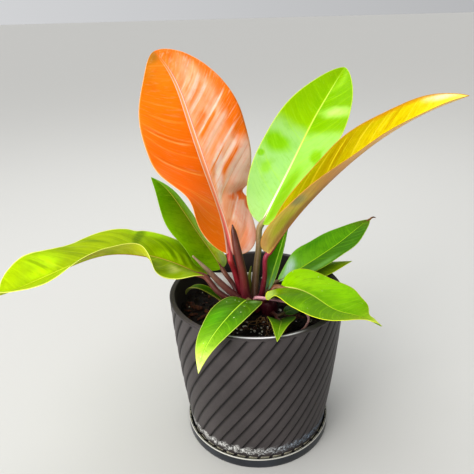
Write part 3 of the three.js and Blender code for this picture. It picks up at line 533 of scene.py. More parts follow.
LOWER_SKINS = {
    "orange_leaf": dict(
        ramp={0: "d0704c", 0.3: "dc7c3c", 0.7: "e48c3c", 1: "e49a48"},
        veins=("c85e38", 0.4, 13, 0.2), rib=("d07a68", 4.8), rib_root="a83850", margin=("d8803c", 0.6),
        mottle=("c25a2c", 0.3),
    ),
    "lime_leaf": dict(
        ramp={0: "a4cc5c", 0.5: "90c430", 1: "88bc24"},
        veins=("78a828", 0.3, 12, 0.2), rib=("bccc78", 3.2), rib_root="a08868", margin=("b8cc60", 0.6),
    ),
    "yellow_leaf": dict(
        ramp={0: "fcd880", 0.2: "ecd060", 0.35: "e8b860", 0.55: "f8b868", 0.75: "ffcc78", 1: "ffe090"},
        patches=[
            ("e8a878", 0.8, 0.04, 0.8, 0.05, 0.3, 0, 0.8),
            ("a8a478", 0.85, 0.27, 0.85, 0.03, 0.3, 0, 0.7),
            ("c0c828", 0.7, 0.14, 0.5, 0.07, 0.24, 0, 0.8),
            ("e08840", 0.6, 0.42, 0.5, 0.08, 0.4, 0, 0.8), ("b06850", 0.8, 0.2, 0.12, 0.3, 0.2, 0, 0.8),
        ],
        veins=("c89848", 0.45, 12, 0.2), streaks=("fce0a0", 0.3, "c08c38", 0.35), rib=("a84450", 2.8),
        rib_root="a82050", margin=("c87c48", 0.6), mottle=("c89048", 0.3), roughness=0.45, gloss=0.1,
    ),
    "left_leaf": dict(
        ramp={0: "bcb420", 0.35: "bcc804", 0.6: "bccc08", 1: "b0bc14"},
        patches=[
            ("a0b400", 0.6, 0.5, -0.4, 0.03, 0.5, 0.1, 0.8),
            ("b8a008", 0.6, 0.56, -0.6, 0.04, 0.4, 0.1, 0.8),
        ],
        veins=("a0b008", 0.45, 13, 0.2), streaks=("d0dc30", 0.3, "889400", 0.4), rib=("b87048", 3),
        rib_root="94483c", margin=("f4f480", 1), mottle=("a4a808", 0.3), gloss=0.04, coat=0,
    ),
    "back_leaf": dict(
        ramp={0: "54842c", 1: "5c902c"},
        veins=("446c24", 0.35, 12, 0.2), rib=("8c9848", 2.8), margin=("749440", 0.5),
    ),
    "right_upper_leaf": dict(
        ramp={0: "64883c", 0.9: "6c9434", 1: "684c20"},
        veins=("4c7424", 0.35, 12, 0.2), rib=("949c54", 2.6), margin=("849c44", 0.5),
    ),
    "right_large_leaf": dict(
        ramp={0: "749438", 1: "80a434"},
        veins=("587c28", 0.35, 11, 0.2), rib=("a4a860", 2.8), rib_root="94604c", margin=("b4bc50", 0.7),
    ),
    "right_low_leaf": dict(
        ramp={0: "587830", 1: "688834"},
        rib=("8c9450", 1.8), margin=("809840", 0.5),
    ),
    "centre_leaf": dict(
        ramp={0: "b8dcd4", 0.2: "5c9424", 0.7: "5c9808", 1: "6ca420"},
        streaks=("88c038", 0.35, "3c7c08", 0.4), rib=("94b050", 1.9), margin=("80a040", 0.5),
        mottle=("3c7c04", 0.35), roughness=0.36, gloss=0.1,
    ),
    "front_leaf": dict(
        ramp={0: "648434", 1: "749438"},
        rib=("949c54", 2.2), margin=("909c48", 0.5),
    ),
    "front_small_leaf": dict(
        ramp={0: "587830", 1: "688834"},
        rib=("8c9450", 1.8), margin=("809840", 0.5),
    ),
    "left_small_leaf": dict(
        ramp={0: "90a850", 0.5: "b8c070", 1: "a0ac58"},
        rib=("b4b080", 1.6), margin=("b8b870", 0.5),
    ),
    "inner_small_leaf": dict(
        ramp={0: "3c6424", 1: "4c7024"},
        rib=("708040", 1.4), margin=("708440", 0.5),
    ),
}


def colour(code):
    """A linear colour from a six-figure web colour."""
    parts = [int(code[i : i + 2], 16) / 255 for i in (0, 2, 4)]
    return (*(p / 12.92 if p <= 0.04045 else ((p + 0.055) / 1.055) ** 2.4 for p in parts), 1.0)


class Value:
    """What a node gives. A sum with it makes a Math node."""

    def __init__(self, shader, socket):
        self.shader, self.socket = shader, socket

    def math(self, operation, *others):
        inputs = {0: self, **dict(enumerate(others, 1))}
        return self.shader.node("ShaderNodeMath", inputs, operation=operation)

    def __add__(self, other):
        return self.math("ADD", other)

    def __sub__(self, other):
        return self.math("SUBTRACT", other)

    def __mul__(self, other):
        return self.math("MULTIPLY", other)

    def __truediv__(self, other):
        return self.math("DIVIDE", other)

    def __pow__(self, other):
        return self.math("POWER", other)

    def __abs__(self):
        return self.math("ABSOLUTE")


class Shader:
    """One material or sky, whose nodes are made by short calls that return their output."""

    def __init__(self, name, kind=bpy.data.materials):
        self.owner = kind.new(name)
        self.owner.use_nodes = True
        self.tree = self.owner.node_tree

    def node(self, kind, inputs=None, output=0, **settings):
        made = self.tree.nodes.new(kind)
        for key, value in settings.items():
            setattr(made, key, value)
        for key, value in (inputs or {}).items():
            self.put(made.inputs[key], value)
        return Value(self, made.outputs[output])

    def put(self, socket, value):
        if isinstance(value, Value):
            self.tree.links.new(value.socket, socket)
        else:
            socket.default_value = colour(value) if isinstance(value, str) else value

    def smooth(self, value, start, end, low=0.0, high=1.0, kind="SMOOTHSTEP"):
        """low up to start, high from end on, with a soft step between."""
        inputs = {"Value": value, "From Min": start, "From Max": end, "To Min": low, "To Max": high}
        return self.node("ShaderNodeMapRange", inputs, "Result", interpolation_type=kind)

    def mix(self, share, first, second):
        return self.node("ShaderNodeMix", {0: share, 6: first, 7: second}, 2, data_type="RGBA")

    def ramp(self, value, stops):
        made = self.node("ShaderNodeValToRGB", {0: value})
        steps = made.socket.node.color_ramp
        steps.interpolation = "B_SPLINE" if len(stops) > 2 else "EASE"
        while len(steps.elements) < len(stops):
            steps.elements.new(0.5)
        for element, place in zip(steps.elements, stops):
            element.position = place
        for element, code in zip(steps.elements, stops.values()):
            element.color = colour(code)
        return made

    def parts(self, vector):
        """The three parts of a vector."""
        first = self.node("ShaderNodeSeparateXYZ", {0: vector})
        return [Value(self, socket) for socket in first.socket.node.outputs]

    def layer(self, name):
        """The two coordinates of a UV layer."""
        return self.parts(self.node("ShaderNodeUVMap", uv_map=name))[:2]

    def place(self, kind="Object"):
        return self.node("ShaderNodeTexCoord", output=kind)

    def point(self, x, y):
        return self.node("ShaderNodeCombineXYZ", {0: x, 1: y})

    def grain(self, scale, detail=3.0, rough=0.55, vector=None):
        vector = vector or self.place()
        inputs = {"Scale": scale, "Detail": detail, "Roughness": rough, "Vector": vector}
        return self.node("ShaderNodeTexNoise", inputs)

    def fibre(self, scale, detail, rough, stretch):
        """Grain drawn out along an axis."""
        drawn = self.node("ShaderNodeMapping", {"Vector": self.place(), "Scale": stretch})
        return self.grain(scale, detail, rough, drawn)

    def bump(self, height, distance, strength, under=None):
        inputs = {"Height": height, "Distance": distance, "Strength": strength}
        if under:
            inputs["Normal"] = under
        return self.node("ShaderNodeBump", inputs)

    def finish(self, base, roughness, normal=None, **plain):
        surface = self.tree.nodes["Principled BSDF"].inputs
        self.put(surface["Base Color"], base)
        self.put(surface["Roughness"], roughness)
        if normal:
            self.put(surface["Normal"], normal)
        for key, value in plain.items():
            surface[key.replace("_", " ")].default_value = value
        return self.owner


def leaf_skin(
    name,
    ramp,
    other_half=None,
    patches=(),
    bands=(),
    veins=("ffffff", 0.1, 12, 0.25),
    streaks=None,
    calm_left=1.0,
    rib=("d8e070", 2.2),
    rib_shade=None,
    rib_edge_highlight=None,
    rib_root=None,
    margin=("c8d850", 0.7),
    mottle=("203010", 0.12),
    specks=0.0,
    roughness=0.34,
    coat=0.04,
    gloss=0.1,
):
    """The skin of one face of a blade.

    ramp gives colours from base to tip, and other_half those of the right half.
    Each of patches is colour, share, s, u, radius in s and in u, lean with u, and softness.
    Each of bands is colour, share, where it leaves the midrib, half its width, and its ends in u.
    veins is colour, share, how many along the midrib and width of a line.
    streaks are a pale and a dark colour, each with its share, and calm_left is how much of them the
    left half keeps. rib and margin are colour and width in millimetres.
    rib_shade, the dark line beside the rib, and mottle are colour and share.
    """
    skin = Shader(name)
    s, u = skin.layer("blade")
    origin, from_rib = skin.layer("vein")
    from_edge, _ = skin.layer("edge")
    drift = skin.grain(38, 2) - 0.5
    shift = drift * 0.05 + (skin.grain(160, 3) - 0.5) * 0.012
    moved_s, moved_u = s + shift, u + shift * 3.0
    base = skin.ramp(moved_s, ramp)
    if other_half:
        base = skin.mix(skin.smooth(u, -0.01, 0.01), base, skin.ramp(moved_s, other_half))
    for code, share, at_s, at_u, radius_s, radius_u, sweep, softness in patches:
        off_s = moved_s - at_s - (abs(moved_u) - abs(at_u)) * sweep
        off_u = moved_u - at_u
        distance = ((off_s / radius_s) ** 2.0 + (off_u / radius_u) ** 2.0).math("SQRT")
        base = skin.mix(skin.smooth(distance, 1 + softness, 1 - softness) * share, base, code)
    for code, share, leaves_at, half, start, end in bands:
        on = skin.smooth(abs(origin + drift * 0.012 - leaves_at), half * 1.5, half * 0.4)
        fade_run = (end - start) / 4
        ends = skin.smooth(u, start, start + fade_run) * skin.smooth(u, end, end - fade_run)
        base = skin.mix(on * ends * share, base, code)
    dark, dark_share = mottle
    base = skin.mix(skin.smooth(skin.grain(90, 4, 0.6), 0.45, 0.75, 0.0, dark_share), base, dark)
    silk = skin.grain(1.0, 5, 0.66, skin.point(origin * 80.0, u * 2.2))
    if streaks:
        pale, pale_share, deep, deep_share = streaks
        liveliness = skin.smooth(u, -0.02, 0.02, calm_left, 1.0)
        base = skin.mix(skin.smooth(silk, 0.5, 0.7, 0.0, pale_share) * liveliness, base, pale)
        base = skin.mix(skin.smooth(silk, 0.5, 0.3, 0.0, deep_share) * liveliness, base, deep)
    vein, vein_share, vein_count, vein_width = veins
    drawn_at = origin + (skin.grain(16, 1) - 0.5) * 0.05
    line = skin.smooth(abs((drawn_at * vein_count).math("FRACT") - 0.5), 0.5 - vein_width, 0.5)
    fine_line = skin.smooth(abs((drawn_at * (vein_count * 5)).math("FRACT") - 0.5), 0.2, 0.5)
    lines = (line * 0.75 + fine_line * 0.25) * skin.smooth(from_edge, 0.5, 4.0)
    patchy = skin.grain(1.0, 1, 0.5, skin.point(origin * (vein_count * 0.9), u.math("SIGN")))
    base = skin.mix(lines * (skin.smooth(patchy, 0.38, 0.62, 0.15, 1.0) * vein_share), base, vein)
    rib_colour, rib_width = rib
    width = (s * -0.75 + 1.0) * (rib_width / 2)
    across = from_rib / width
    if rib_root:
        rib_colour = skin.ramp(s, {0.0: rib_root, 0.6: rib_colour})
    # The rib's pale edges are a painted highlight.
    if rib_edge_highlight:
        rib_colour = skin.mix(skin.smooth(across, 0.35, 0.9), rib_colour, rib_edge_highlight)
    fade = skin.smooth(s, 1.0, 0.8)
    if rib_shade:
        shade, shade_share = rib_shade
        beside = skin.smooth(abs((from_rib - width) / RIB_SHADE_WIDTH), 1.2, 0.4) * shade_share
        base = skin.mix(beside * skin.smooth(u, -0.001, 0.001) * fade, base, shade)
    base = skin.mix(skin.smooth(across, 1.2, 0.8) * fade, base, rib_colour)
    edge, edge_width = margin
    base = skin.mix(skin.smooth(from_edge, edge_width * 1.6, edge_width * 0.5) * 0.85, base, edge)
    if specks:
        cells = skin.node("ShaderNodeTexVoronoi", {"Vector": skin.place(), "Scale": 190.0}, "Distance")
        dots = skin.smooth(cells, 0.16, 0.07) * skin.smooth(skin.grain(90, 1), 0.5, 0.62)
        base = skin.mix(dots * specks, base, "e6f2c8")
    shine = skin.smooth(skin.grain(70, 3), 0.3, 0.7, roughness - 0.05, roughness + 0.07)
    height = skin.grain(1500, 2) * 0.25 + silk * 1.5 - lines
    return skin.finish(
        base, shine, skin.bump(height, 0.0004, 0.12),
        Coat_Weight=coat, Coat_Roughness=0.16, Specular_IOR_Level=gloss,
        Subsurface_Weight=0.06, Subsurface_Radius=(1.0, 0.9, 0.2), Subsurface_Scale=0.0016,
    )


def along(keys, t):
    """The values at t, 0 to 1, of a smooth curve through evenly spaced keys."""
    keys = np.asarray(keys, float)
    if len(keys) == 1:
        return np.full(np.shape(t), keys[0])
    last = len(keys) - 1
    x = np.clip(t, 0, 1) * last
    i = np.minimum(last - 1, np.floor(x)).astype(int)
    f = x - i
    before, start = keys[np.maximum(0, i - 1)], keys[i]
    end, after = keys[i + 1], keys[np.minimum(last, i + 2)]
    bend = 2 * before - 5 * start + 4 * end - after
    twist = 3 * start - before - 3 * end + after
    return start + 0.5 * f * (end - before + f * (bend + f * twist))


def step(value, start, end):
    """0 up to start and 1 from end on, with a soft step between."""
    t = np.clip((value - start) / (end - start), 0, 1)
    return t * t * (3 - 2 * t)


def frame_at(leaf, s):
    """The unit vectors of a midrib at s: forwards, to its right and up from the blade."""
    turns = (np.radians(along(leaf[key], s))[..., None] for key in ("rise", "heading", "roll"))
    rise, heading, roll = turns
    zero = np.zeros_like(rise)
    level = np.concatenate([np.cos(heading), np.sin(heading), zero], -1)
    sky = np.array([0.0, 0.0, 1.0])
    flat_right = np.concatenate([np.sin(heading), -np.cos(heading), zero], -1)
    flat_up = sky * np.cos(rise) - level * np.sin(rise)
    right = flat_right * np.cos(roll) + flat_up * np.sin(roll)
    up = flat_up * np.cos(roll) - flat_right * np.sin(roll)
    return level * np.cos(rise) + sky * np.sin(rise), right, up


def spine_of(leaf):
    """The points of a leaf's midrib at even steps."""
    middles = (np.arange(SPINE_STEPS) + 0.5) / SPINE_STEPS
    runs = np.concatenate([np.zeros((1, 3)), np.cumsum(frame_at(leaf, middles)[0], 0)])
    return runs * leaf["length"] / SPINE_STEPS + np.array(leaf["start"], float)


def pinches_at(leaf, s, u):
    """How near a point is to each pinch of the blade's edge, with the pinch's depth and rise."""
    for at, radius, side, depth, rise in leaf.get("pinches", ()):
        yield np.exp(-(((s - at) / radius) ** 2)) * (np.sign(u) == side), depth, rise


def half_width(leaf, s, u):
    """The width of one half of a blade at s, in millimetres."""
    end = leaf["taper"]
    begin = end * leaf["widest"] / (1 - leaf["widest"])
    top = leaf["widest"] ** begin * (1 - leaf["widest"]) ** end
    share = s**begin * (1 - s) ** end / top
    wide = leaf["width"] / 2 * share * (1 + leaf.get("skew", 0) * np.sign(u))
    if "slim" in leaf:
        wide = wide * np.where(np.asarray(u) < 0, along(leaf["slim"], s), 1)
    for near, depth, _ in pinches_at(leaf, s, u):
        wide = wide * (1 - depth * near)
    return np.maximum(wide, NECK_HALF_WIDTH * (1 - s))


def blade_points(leaf, s, u):
    """The middle surface of a blade: s runs from base to tip, u from the left edge to the right."""
    spine = spine_of(leaf)
    forwards, right, up = frame_at(leaf, s)
    side = np.sign(u)
    half = half_width(leaf, s, u)
    fold = np.where(side > 0, along(leaf.get("fold_right", leaf["fold"]), s), along(leaf["fold"], s))
    reach = np.abs(u)[..., None] * (np.arange(SECTION_STEPS) + 0.5) / SECTION_STEPS
    angle = np.radians(fold)[..., None] * (1 - np.exp(-reach / KEEL_SOFTNESS))
    angle = angle + np.radians(leaf["curl"]) * reach
    out, lift = (turned.mean(-1) * np.abs(u) for turned in (np.cos(angle), np.sin(angle)))
    height, waves, phase = leaf.get("wave", (0, 0, 0))
    turn = 2 * np.pi * (waves * s + phase) + np.where(side < 0, 2.2, 0)
    wave = height * u * u * np.sin(turn) * np.sin(np.pi * s)
    lobed = np.clip((half - NECK_HALF_WIDTH) / LOBE_HALF_WIDTH, 0, 1)
    lobe = np.where(side > 0, leaf.get("lobe_right", leaf.get("lobe", 0)), leaf.get("lobe", 0))
    back = lobe * lobed * u * u * (1 - s) ** LOBE_POWER
    x = np.clip(s, 0, 1) * SPINE_STEPS
    i = np.minimum(SPINE_STEPS - 1, x.astype(int))
    f = (x - i)[..., None]
    points = spine[i] * (1 - f) + spine[i + 1] * f
    points = points + right * (side * out * half)[..., None] + up * (lift * half + wave)[..., None]
    return points + forwards * (LEAF_GAP - back)[..., None]


def vein_origin(leaf, s, u):
    """Where on the midrib, from 0 to 1, the side vein through a point of the blade starts."""
    left, left_bend, right, right_bend = leaf.get("sweep", (0.1, 0.1, 0.14, 0.06))
    reach = np.abs(u) * half_width(leaf, s, u) / (leaf["width"] / 2)
    left_back, right_back = left * reach + left_bend * reach**3, right * reach + right_bend * reach**3
    return s - np.where(u < 0, left_back, right_back)


def relief_of(leaf, s, u):
    """How far the blade's skin stands off its smooth form, in millimetres."""
    half = half_width(leaf, s, u)
    from_rib = np.abs(u) * half
    origin = vein_origin(leaf, s, u)
    left, left_count, right, right_count = leaf.get("pleats", (0.22, 13, 0.22, 13))
    pleats = np.abs(np.sin(np.pi * np.where(u < 0, left_count, right_count) * origin)) ** 0.8
    swell = np.where(u < 0, left, right) * pleats
    fade = step(from_rib, 0.8, 7) * (0.35 + 0.65 * step(half - from_rib, 0, 8)) * step(s, 0.01, 0.12)
    height = swell * fade - leaf.get("groove", 0.55) * np.exp(-((from_rib / 1.4) ** 2)) * (1 - s)
    for near, _, rise in pinches_at(leaf, s, u):
        height = height + rise * near * step(np.abs(u), 0.1, 0.9)
    return height


def make_mesh(name, points, faces, materials=(), layers=None, slots=None):
    """A smooth mesh object from points in millimetres. layers gives UV layers, as a pair per point."""
    mesh = bpy.data.meshes.new(name)
    placed = (np.asarray(points, float) * MM).tolist()
    mesh.from_pydata(placed, [], [list(map(int, face)) for face in faces])
    for material in materials:
        mesh.materials.append(material)
    corners = np.zeros(len(mesh.loops), np.int32)
    mesh.loops.foreach_get("vertex_index", corners)
    for key, pairs in (layers or {}).items():
        layer = mesh.uv_layers.new(name=key)
        layer.data.foreach_set("uv", np.asarray(pairs, np.float32)[corners].ravel())
    if slots is not None:
        mesh.polygons.foreach_set("material_index", np.asarray(slots, np.int32))
    mesh.polygons.foreach_set("use_smooth", [True] * len(mesh.polygons))
    mesh.update()
    return add_object(name, mesh)


def add_object(name, data):
    made = bpy.data.objects.new(name, data)
    bpy.context.scene.collection.objects.link(made)
    return made


def add_piece(made, slot, *nodes):
    """Puts a finished piece on the plant's one body."""
    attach(made, "root")
    if nodes:
        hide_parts(*nodes)


def grid_faces(rows, columns, flip=False, first=0):
    """The four-sided faces of a grid of points, row after row."""
    a = (np.arange(rows - 1)[:, None] * columns + np.arange(columns - 1)[None]).ravel() + first
    faces = np.stack([a, a + 1, a + 1 + columns, a + columns], -1)
    return faces[:, ::-1] if flip else faces


def ring_faces(rings, sides, first=0, closed=False):
    """The faces between rings of points, row after row. The last row joins the first if closed."""
    faces = []
    for row in range(rings if closed else rings - 1):
        low, high = first + row * sides, first + (row + 1) % rings * sides
        for k in range(sides):
            n = (k + 1) % sides
            faces.append((low + k, low + n, high + n, high + k))
    return faces


def circle(radius, turn, z):
    """Points round the upright axis, clockwise from the front."""
    return np.stack([radius * np.sin(turn), -radius * np.cos(turn), np.full(len(turn), z)], -1)


def full_turn(sides):
    return np.linspace(0, 2 * np.pi, sides, endpoint=False)


def arc(radius, z, bend, start, end, steps):
    """The rounded part of a profile of radius and height, between two angles in degrees."""
    angles = np.radians(np.linspace(start, end, steps))
    return [(radius + bend * math.cos(a), z + bend * math.sin(a)) for a in angles]


def plugs(name, centres, radius, sides, low, high):
    """Upright cylinders in one mesh."""
    points, faces = [], []
    for i, (x, y) in enumerate(centres):
        first = 2 * sides * i
        points += [circle(radius, full_turn(sides), z) + (x, y, 0) for z in (low, high)]
        faces += ring_faces(2, sides, first)
        faces += [range(first + sides - 1, first - 1, -1), range(first + sides, first + 2 * sides)]
    return make_mesh(name, np.concatenate(points), faces)


def combine(made, tool, operation):
    """Joins another mesh to a piece, or cuts it away."""
    change = made.modifiers.new("combine", "BOOLEAN")
    change.operation, change.solver, change.object = operation, "MANIFOLD", tool
    graph = bpy.context.evaluated_depsgraph_get()
    finished = bpy.data.meshes.new_from_object(made.evaluated_get(graph))
    made.modifiers.clear()
    made.data = finished
    bpy.data.objects.remove(tool)


def make_blade(name, upper, lower):
    """One leaf blade: a thin closed skin with its veins in relief and its midrib raised below."""
    leaf = LEAVES[name]
    rows = max(FEWEST_BLADE_ROWS, int(leaf["length"] * BLADE_ROWS_PER_MM))
    columns = HALF_COLUMNS_WIDE if leaf["width"] > SLIM_WIDTH else HALF_COLUMNS_SLIM
    run = 0.5 - 0.5 * np.cos(np.pi * np.arange(rows + 1) / rows)
    half_run = (np.arange(1, columns + 1) / columns) ** 1.35
    s, u = np.meshgrid(run, np.concatenate([-half_run[::-1], [0.0], half_run]), indexing="ij")
    before, after = np.maximum(s - SLOPE_STEP, 0), np.minimum(s + SLOPE_STEP, 1)
    to_left, to_right = np.maximum(u - SLOPE_STEP, -1), np.minimum(u + SLOPE_STEP, 1)
    along_s = blade_points(leaf, after, u) - blade_points(leaf, before, u)
    across = blade_points(leaf, s, to_right) - blade_points(leaf, s, to_left)
    normals = np.cross(across, along_s)
    normals /= np.maximum(np.linalg.norm(normals, axis=-1, keepdims=True), 1e-9)
    half = half_width(leaf, s, u)
    from_rib = np.abs(u) * half
    from_edge = (1 - np.abs(u)) * half
    middle = blade_points(leaf, s, u) + normals * relief_of(leaf, s, u)[..., None]
    thick = MARGIN_THICKNESS + (BLADE_THICKNESS - MARGIN_THICKNESS) * step(from_edge, 0, 6)
    size = min(1.0, leaf["width"] / 60)
    rib_width = size * (0.5 + 1.5 * (1 - s))
    rib = RIB_DEPTH * size * (1 - s) ** 0.7 * np.exp(-((from_rib / rib_width) ** 2))
    rib = rib * step(half, 0.5, 3)
    top = middle + normals * (thick / 2)[..., None]
    bottom = middle - normals * (thick / 2 + rib)[..., None]
    count, wide = s.shape
    under = count * wide
    border = [*range(wide), *(row * wide + wide - 1 for row in range(1, count))]
    border += range(under - 2, under - wide - 1, -1)
    border += [row * wide for row in range(count - 2, 0, -1)]
    rim = [(b, a, under + a, under + b) for a, b in zip(border, border[1:] + border[:1])]
    faces = [grid_faces(count, wide), grid_faces(count, wide, flip=True, first=under), np.array(rim)]
    slots = np.repeat([0, 1, 0], [len(part) for part in faces])
    layers = {"blade": (s, u), "vein": (vein_origin(leaf, s, u), from_rib), "edge": (from_edge, half)}
    layers = {key: np.tile(np.stack(pair, -1).reshape(-1, 2), (2, 1)) for key, pair in layers.items()}
    whole = np.concatenate([top.reshape(-1, 3), bottom.reshape(-1, 3)])
    made = make_mesh(name + "_blade", whole, np.concatenate(faces), [upper, lower], layers, slots)
    add_piece(made, leaf["slot"], name)


def curve_points(points, count):
    """A smooth curve through the given points: its points and the position of each, from 0 to 1."""
    points = np.asarray(points, float)
    ends = np.concatenate([[2 * points[0] - points[1]], points, [2 * points[-1] - points[-2]]])
    found, places = [], []
    spans = len(points) - 1
    per_span = max(2, count // spans)
    for i in range(spans):
        a, b, c, d = ends[i : i + 4]
        gaps = (max(np.linalg.norm(q - p) ** 0.5, 1e-6) for p, q in ((a, b), (b, c), (c, d)))
        gap_a, gap_b, gap_c = gaps
        slope_b = ((b - a) / gap_a - (c - a) / (gap_a + gap_b) + (c - b) / gap_b) * gap_b
        slope_c = ((c - b) / gap_b - (d - b) / (gap_b + gap_c) + (d - c) / gap_c) * gap_b
        t = (np.arange(per_span + (i == spans - 1)) / per_span)[:, None]
        start = (2 * t**3 - 3 * t**2 + 1) * b + (t**3 - 2 * t**2 + t) * slope_b
        found.append(start + (3 * t**2 - 2 * t**3) * c + (t**3 - t**2) * slope_c)
        places.append((i + t[:, 0]) / spans)
    return np.concatenate(found), np.concatenate(places)


def make_tube(name, path, radii, material, sides=20, seam=(0, -1, 0)):
    """A closed tube along a path."""
    ahead = np.gradient(path, axis=0)
    ahead /= np.linalg.norm(ahead, axis=1, keepdims=True)
    side = np.array(seam, float)
    lengths = np.concatenate([[0], np.cumsum(np.linalg.norm(np.diff(path, axis=0), axis=1))])
    angles = full_turn(sides)
    rings, pairs = [], []
    for centre, forwards, radius, length in zip(path, ahead, radii, lengths):
        side = side - forwards * side.dot(forwards)
        side /= np.linalg.norm(side)
        other = np.cross(forwards, side)
        around = np.outer(np.cos(angles), side) + np.outer(np.sin(angles), other)
        rings.append(centre + around * radius)
        pairs.append(np.stack([np.full(sides, length / lengths[-1]), np.cos(angles)], -1))
    tips = [path[:1] - ahead[:1] * radii[0] * 0.3, path[-1:] + ahead[-1:] * radii[-1] * 0.6]
    start = len(path) * sides
    faces = ring_faces(len(path), sides)
    for k in range(sides):
        n = (k + 1) % sides
        faces += [(start, n, k), (start + 1, start - sides + k, start - sides + n)]
    table = np.concatenate(pairs + [np.array([[0.0, 0.0], [1.0, 0.0]])])
    return make_mesh(name, np.concatenate(rings + tips), faces, [material], {"stalk": table})


def stalk_skin(name, ramp, side=None, roughness=0.36, streaks=("2a0c10", 0.35)):
    """The skin of a stalk: ramp runs from the crown outwards, and side paints shade on its far side."""
    skin = Shader(name)
    t, facing = skin.layer("stalk")
    base = skin.ramp(t + (skin.grain(120, 3) - 0.5) * 0.25, ramp)
    if side:
        # Painted shade on the stalk's far side.
        base = skin.mix(skin.smooth(facing, 0.1, -0.75, 0.0, side[1]), base, side[0])
    fibre = skin.fibre(900, 3, 0.6, (1.0, 1.0, 0.12))
    base = skin.mix(skin.smooth(fibre, 0.5, 0.75, 0.0, streaks[1]), base, streaks[0])
    base = skin.mix(skin.smooth(skin.grain(420, 2), 0.62, 0.8, 0.0, 0.25), base, "d8b8a0")
    shine = skin.smooth(skin.grain(140, 2), 0.3, 0.7, roughness - 0.06, roughness + 0.08)
    coat = dict(Coat_Weight=0.1, Coat_Roughness=0.25, Specular_IOR_Level=0.45)
    return skin.finish(base, shine, skin.bump(fibre, 0.0003, 0.35), **coat)


def make_stalk(name, points, radii, leaf=None, seam=(0, -1, 0), **skin):
    """A stalk and, where it carries a leaf, its way up to the blade and on under it as a keel."""
    radii = [*radii]
    if leaf:
        leaf = LEAVES[leaf]
        start = np.array(leaf["start"], float)
        points = [*points, start - frame_at(leaf, np.array(0.0))[0] * PETIOLE_LEAD, start]
        radii += [radii[-1]] * 2
    path, places = curve_points(points, 14 * (len(points) - 1))
    sizes = along(radii, places)
    if leaf:
        run, depth, share = KEEL.T
        _, _, up = frame_at(leaf, run)
        keel = blade_points(leaf, run, np.zeros(len(run))) - up * (sizes[-1] * depth)[:, None]
        path, sizes = np.concatenate([path, keel]), np.concatenate([sizes, share * sizes[-1]])
    made = make_tube(name, path, sizes, stalk_skin(name + "_skin", **skin), seam=seam)
    add_piece(made, "stem", "stem_and_petioles")


def make_camera():
    """The camera that took the photograph, matched to the pot's rim, foot and saucer."""
    pitch, yaw, roll = (math.radians(angle) for angle in CAMERA_TURN)
    flat = math.cos(pitch)
    ahead = Vector((math.sin(yaw) * flat, math.cos(yaw) * flat, -math.sin(pitch)))
    level = Vector((math.cos(yaw), -math.sin(yaw), 0))
    upward = level.cross(ahead)
    right = level * math.cos(roll) + upward * math.sin(roll)
    top = upward * math.cos(roll) - level * math.sin(roll)
    camera = add_object("camera", bpy.data.cameras.new("camera"))
    camera.data.sensor_width = SENSOR_WIDTH
    camera.data.lens = SENSOR_WIDTH * FOCAL_PIXELS / FRAME_PIXELS
    camera.data.clip_start = 0.01
    turn = Matrix((right, top, -ahead)).transposed().to_4x4()
    camera.matrix_world = Matrix.Translation(CAMERA_PLACE) @ turn
    bpy.context.scene.camera = camera


def pot_share(z):
    return (z - POT_FOOT_Z) / (POT_TOP_Z - POT_FOOT_Z)


def pot_radius(z):
    """The pot's outer radius over its ridges."""
    t = pot_share(z)
    return POT_FOOT_RADIUS + (POT_RIM_RADIUS - POT_FOOT_RADIUS) * t + POT_BELLY * 4 * t * (1 - t)


def bore_radius(z):
    """The pot's inner radius."""
    low = POT_FOOT_RADIUS - FLUTE_DEPTH - POT_WALL
    return low + (BORE_TOP_RADIUS - low) * pot_share(z)


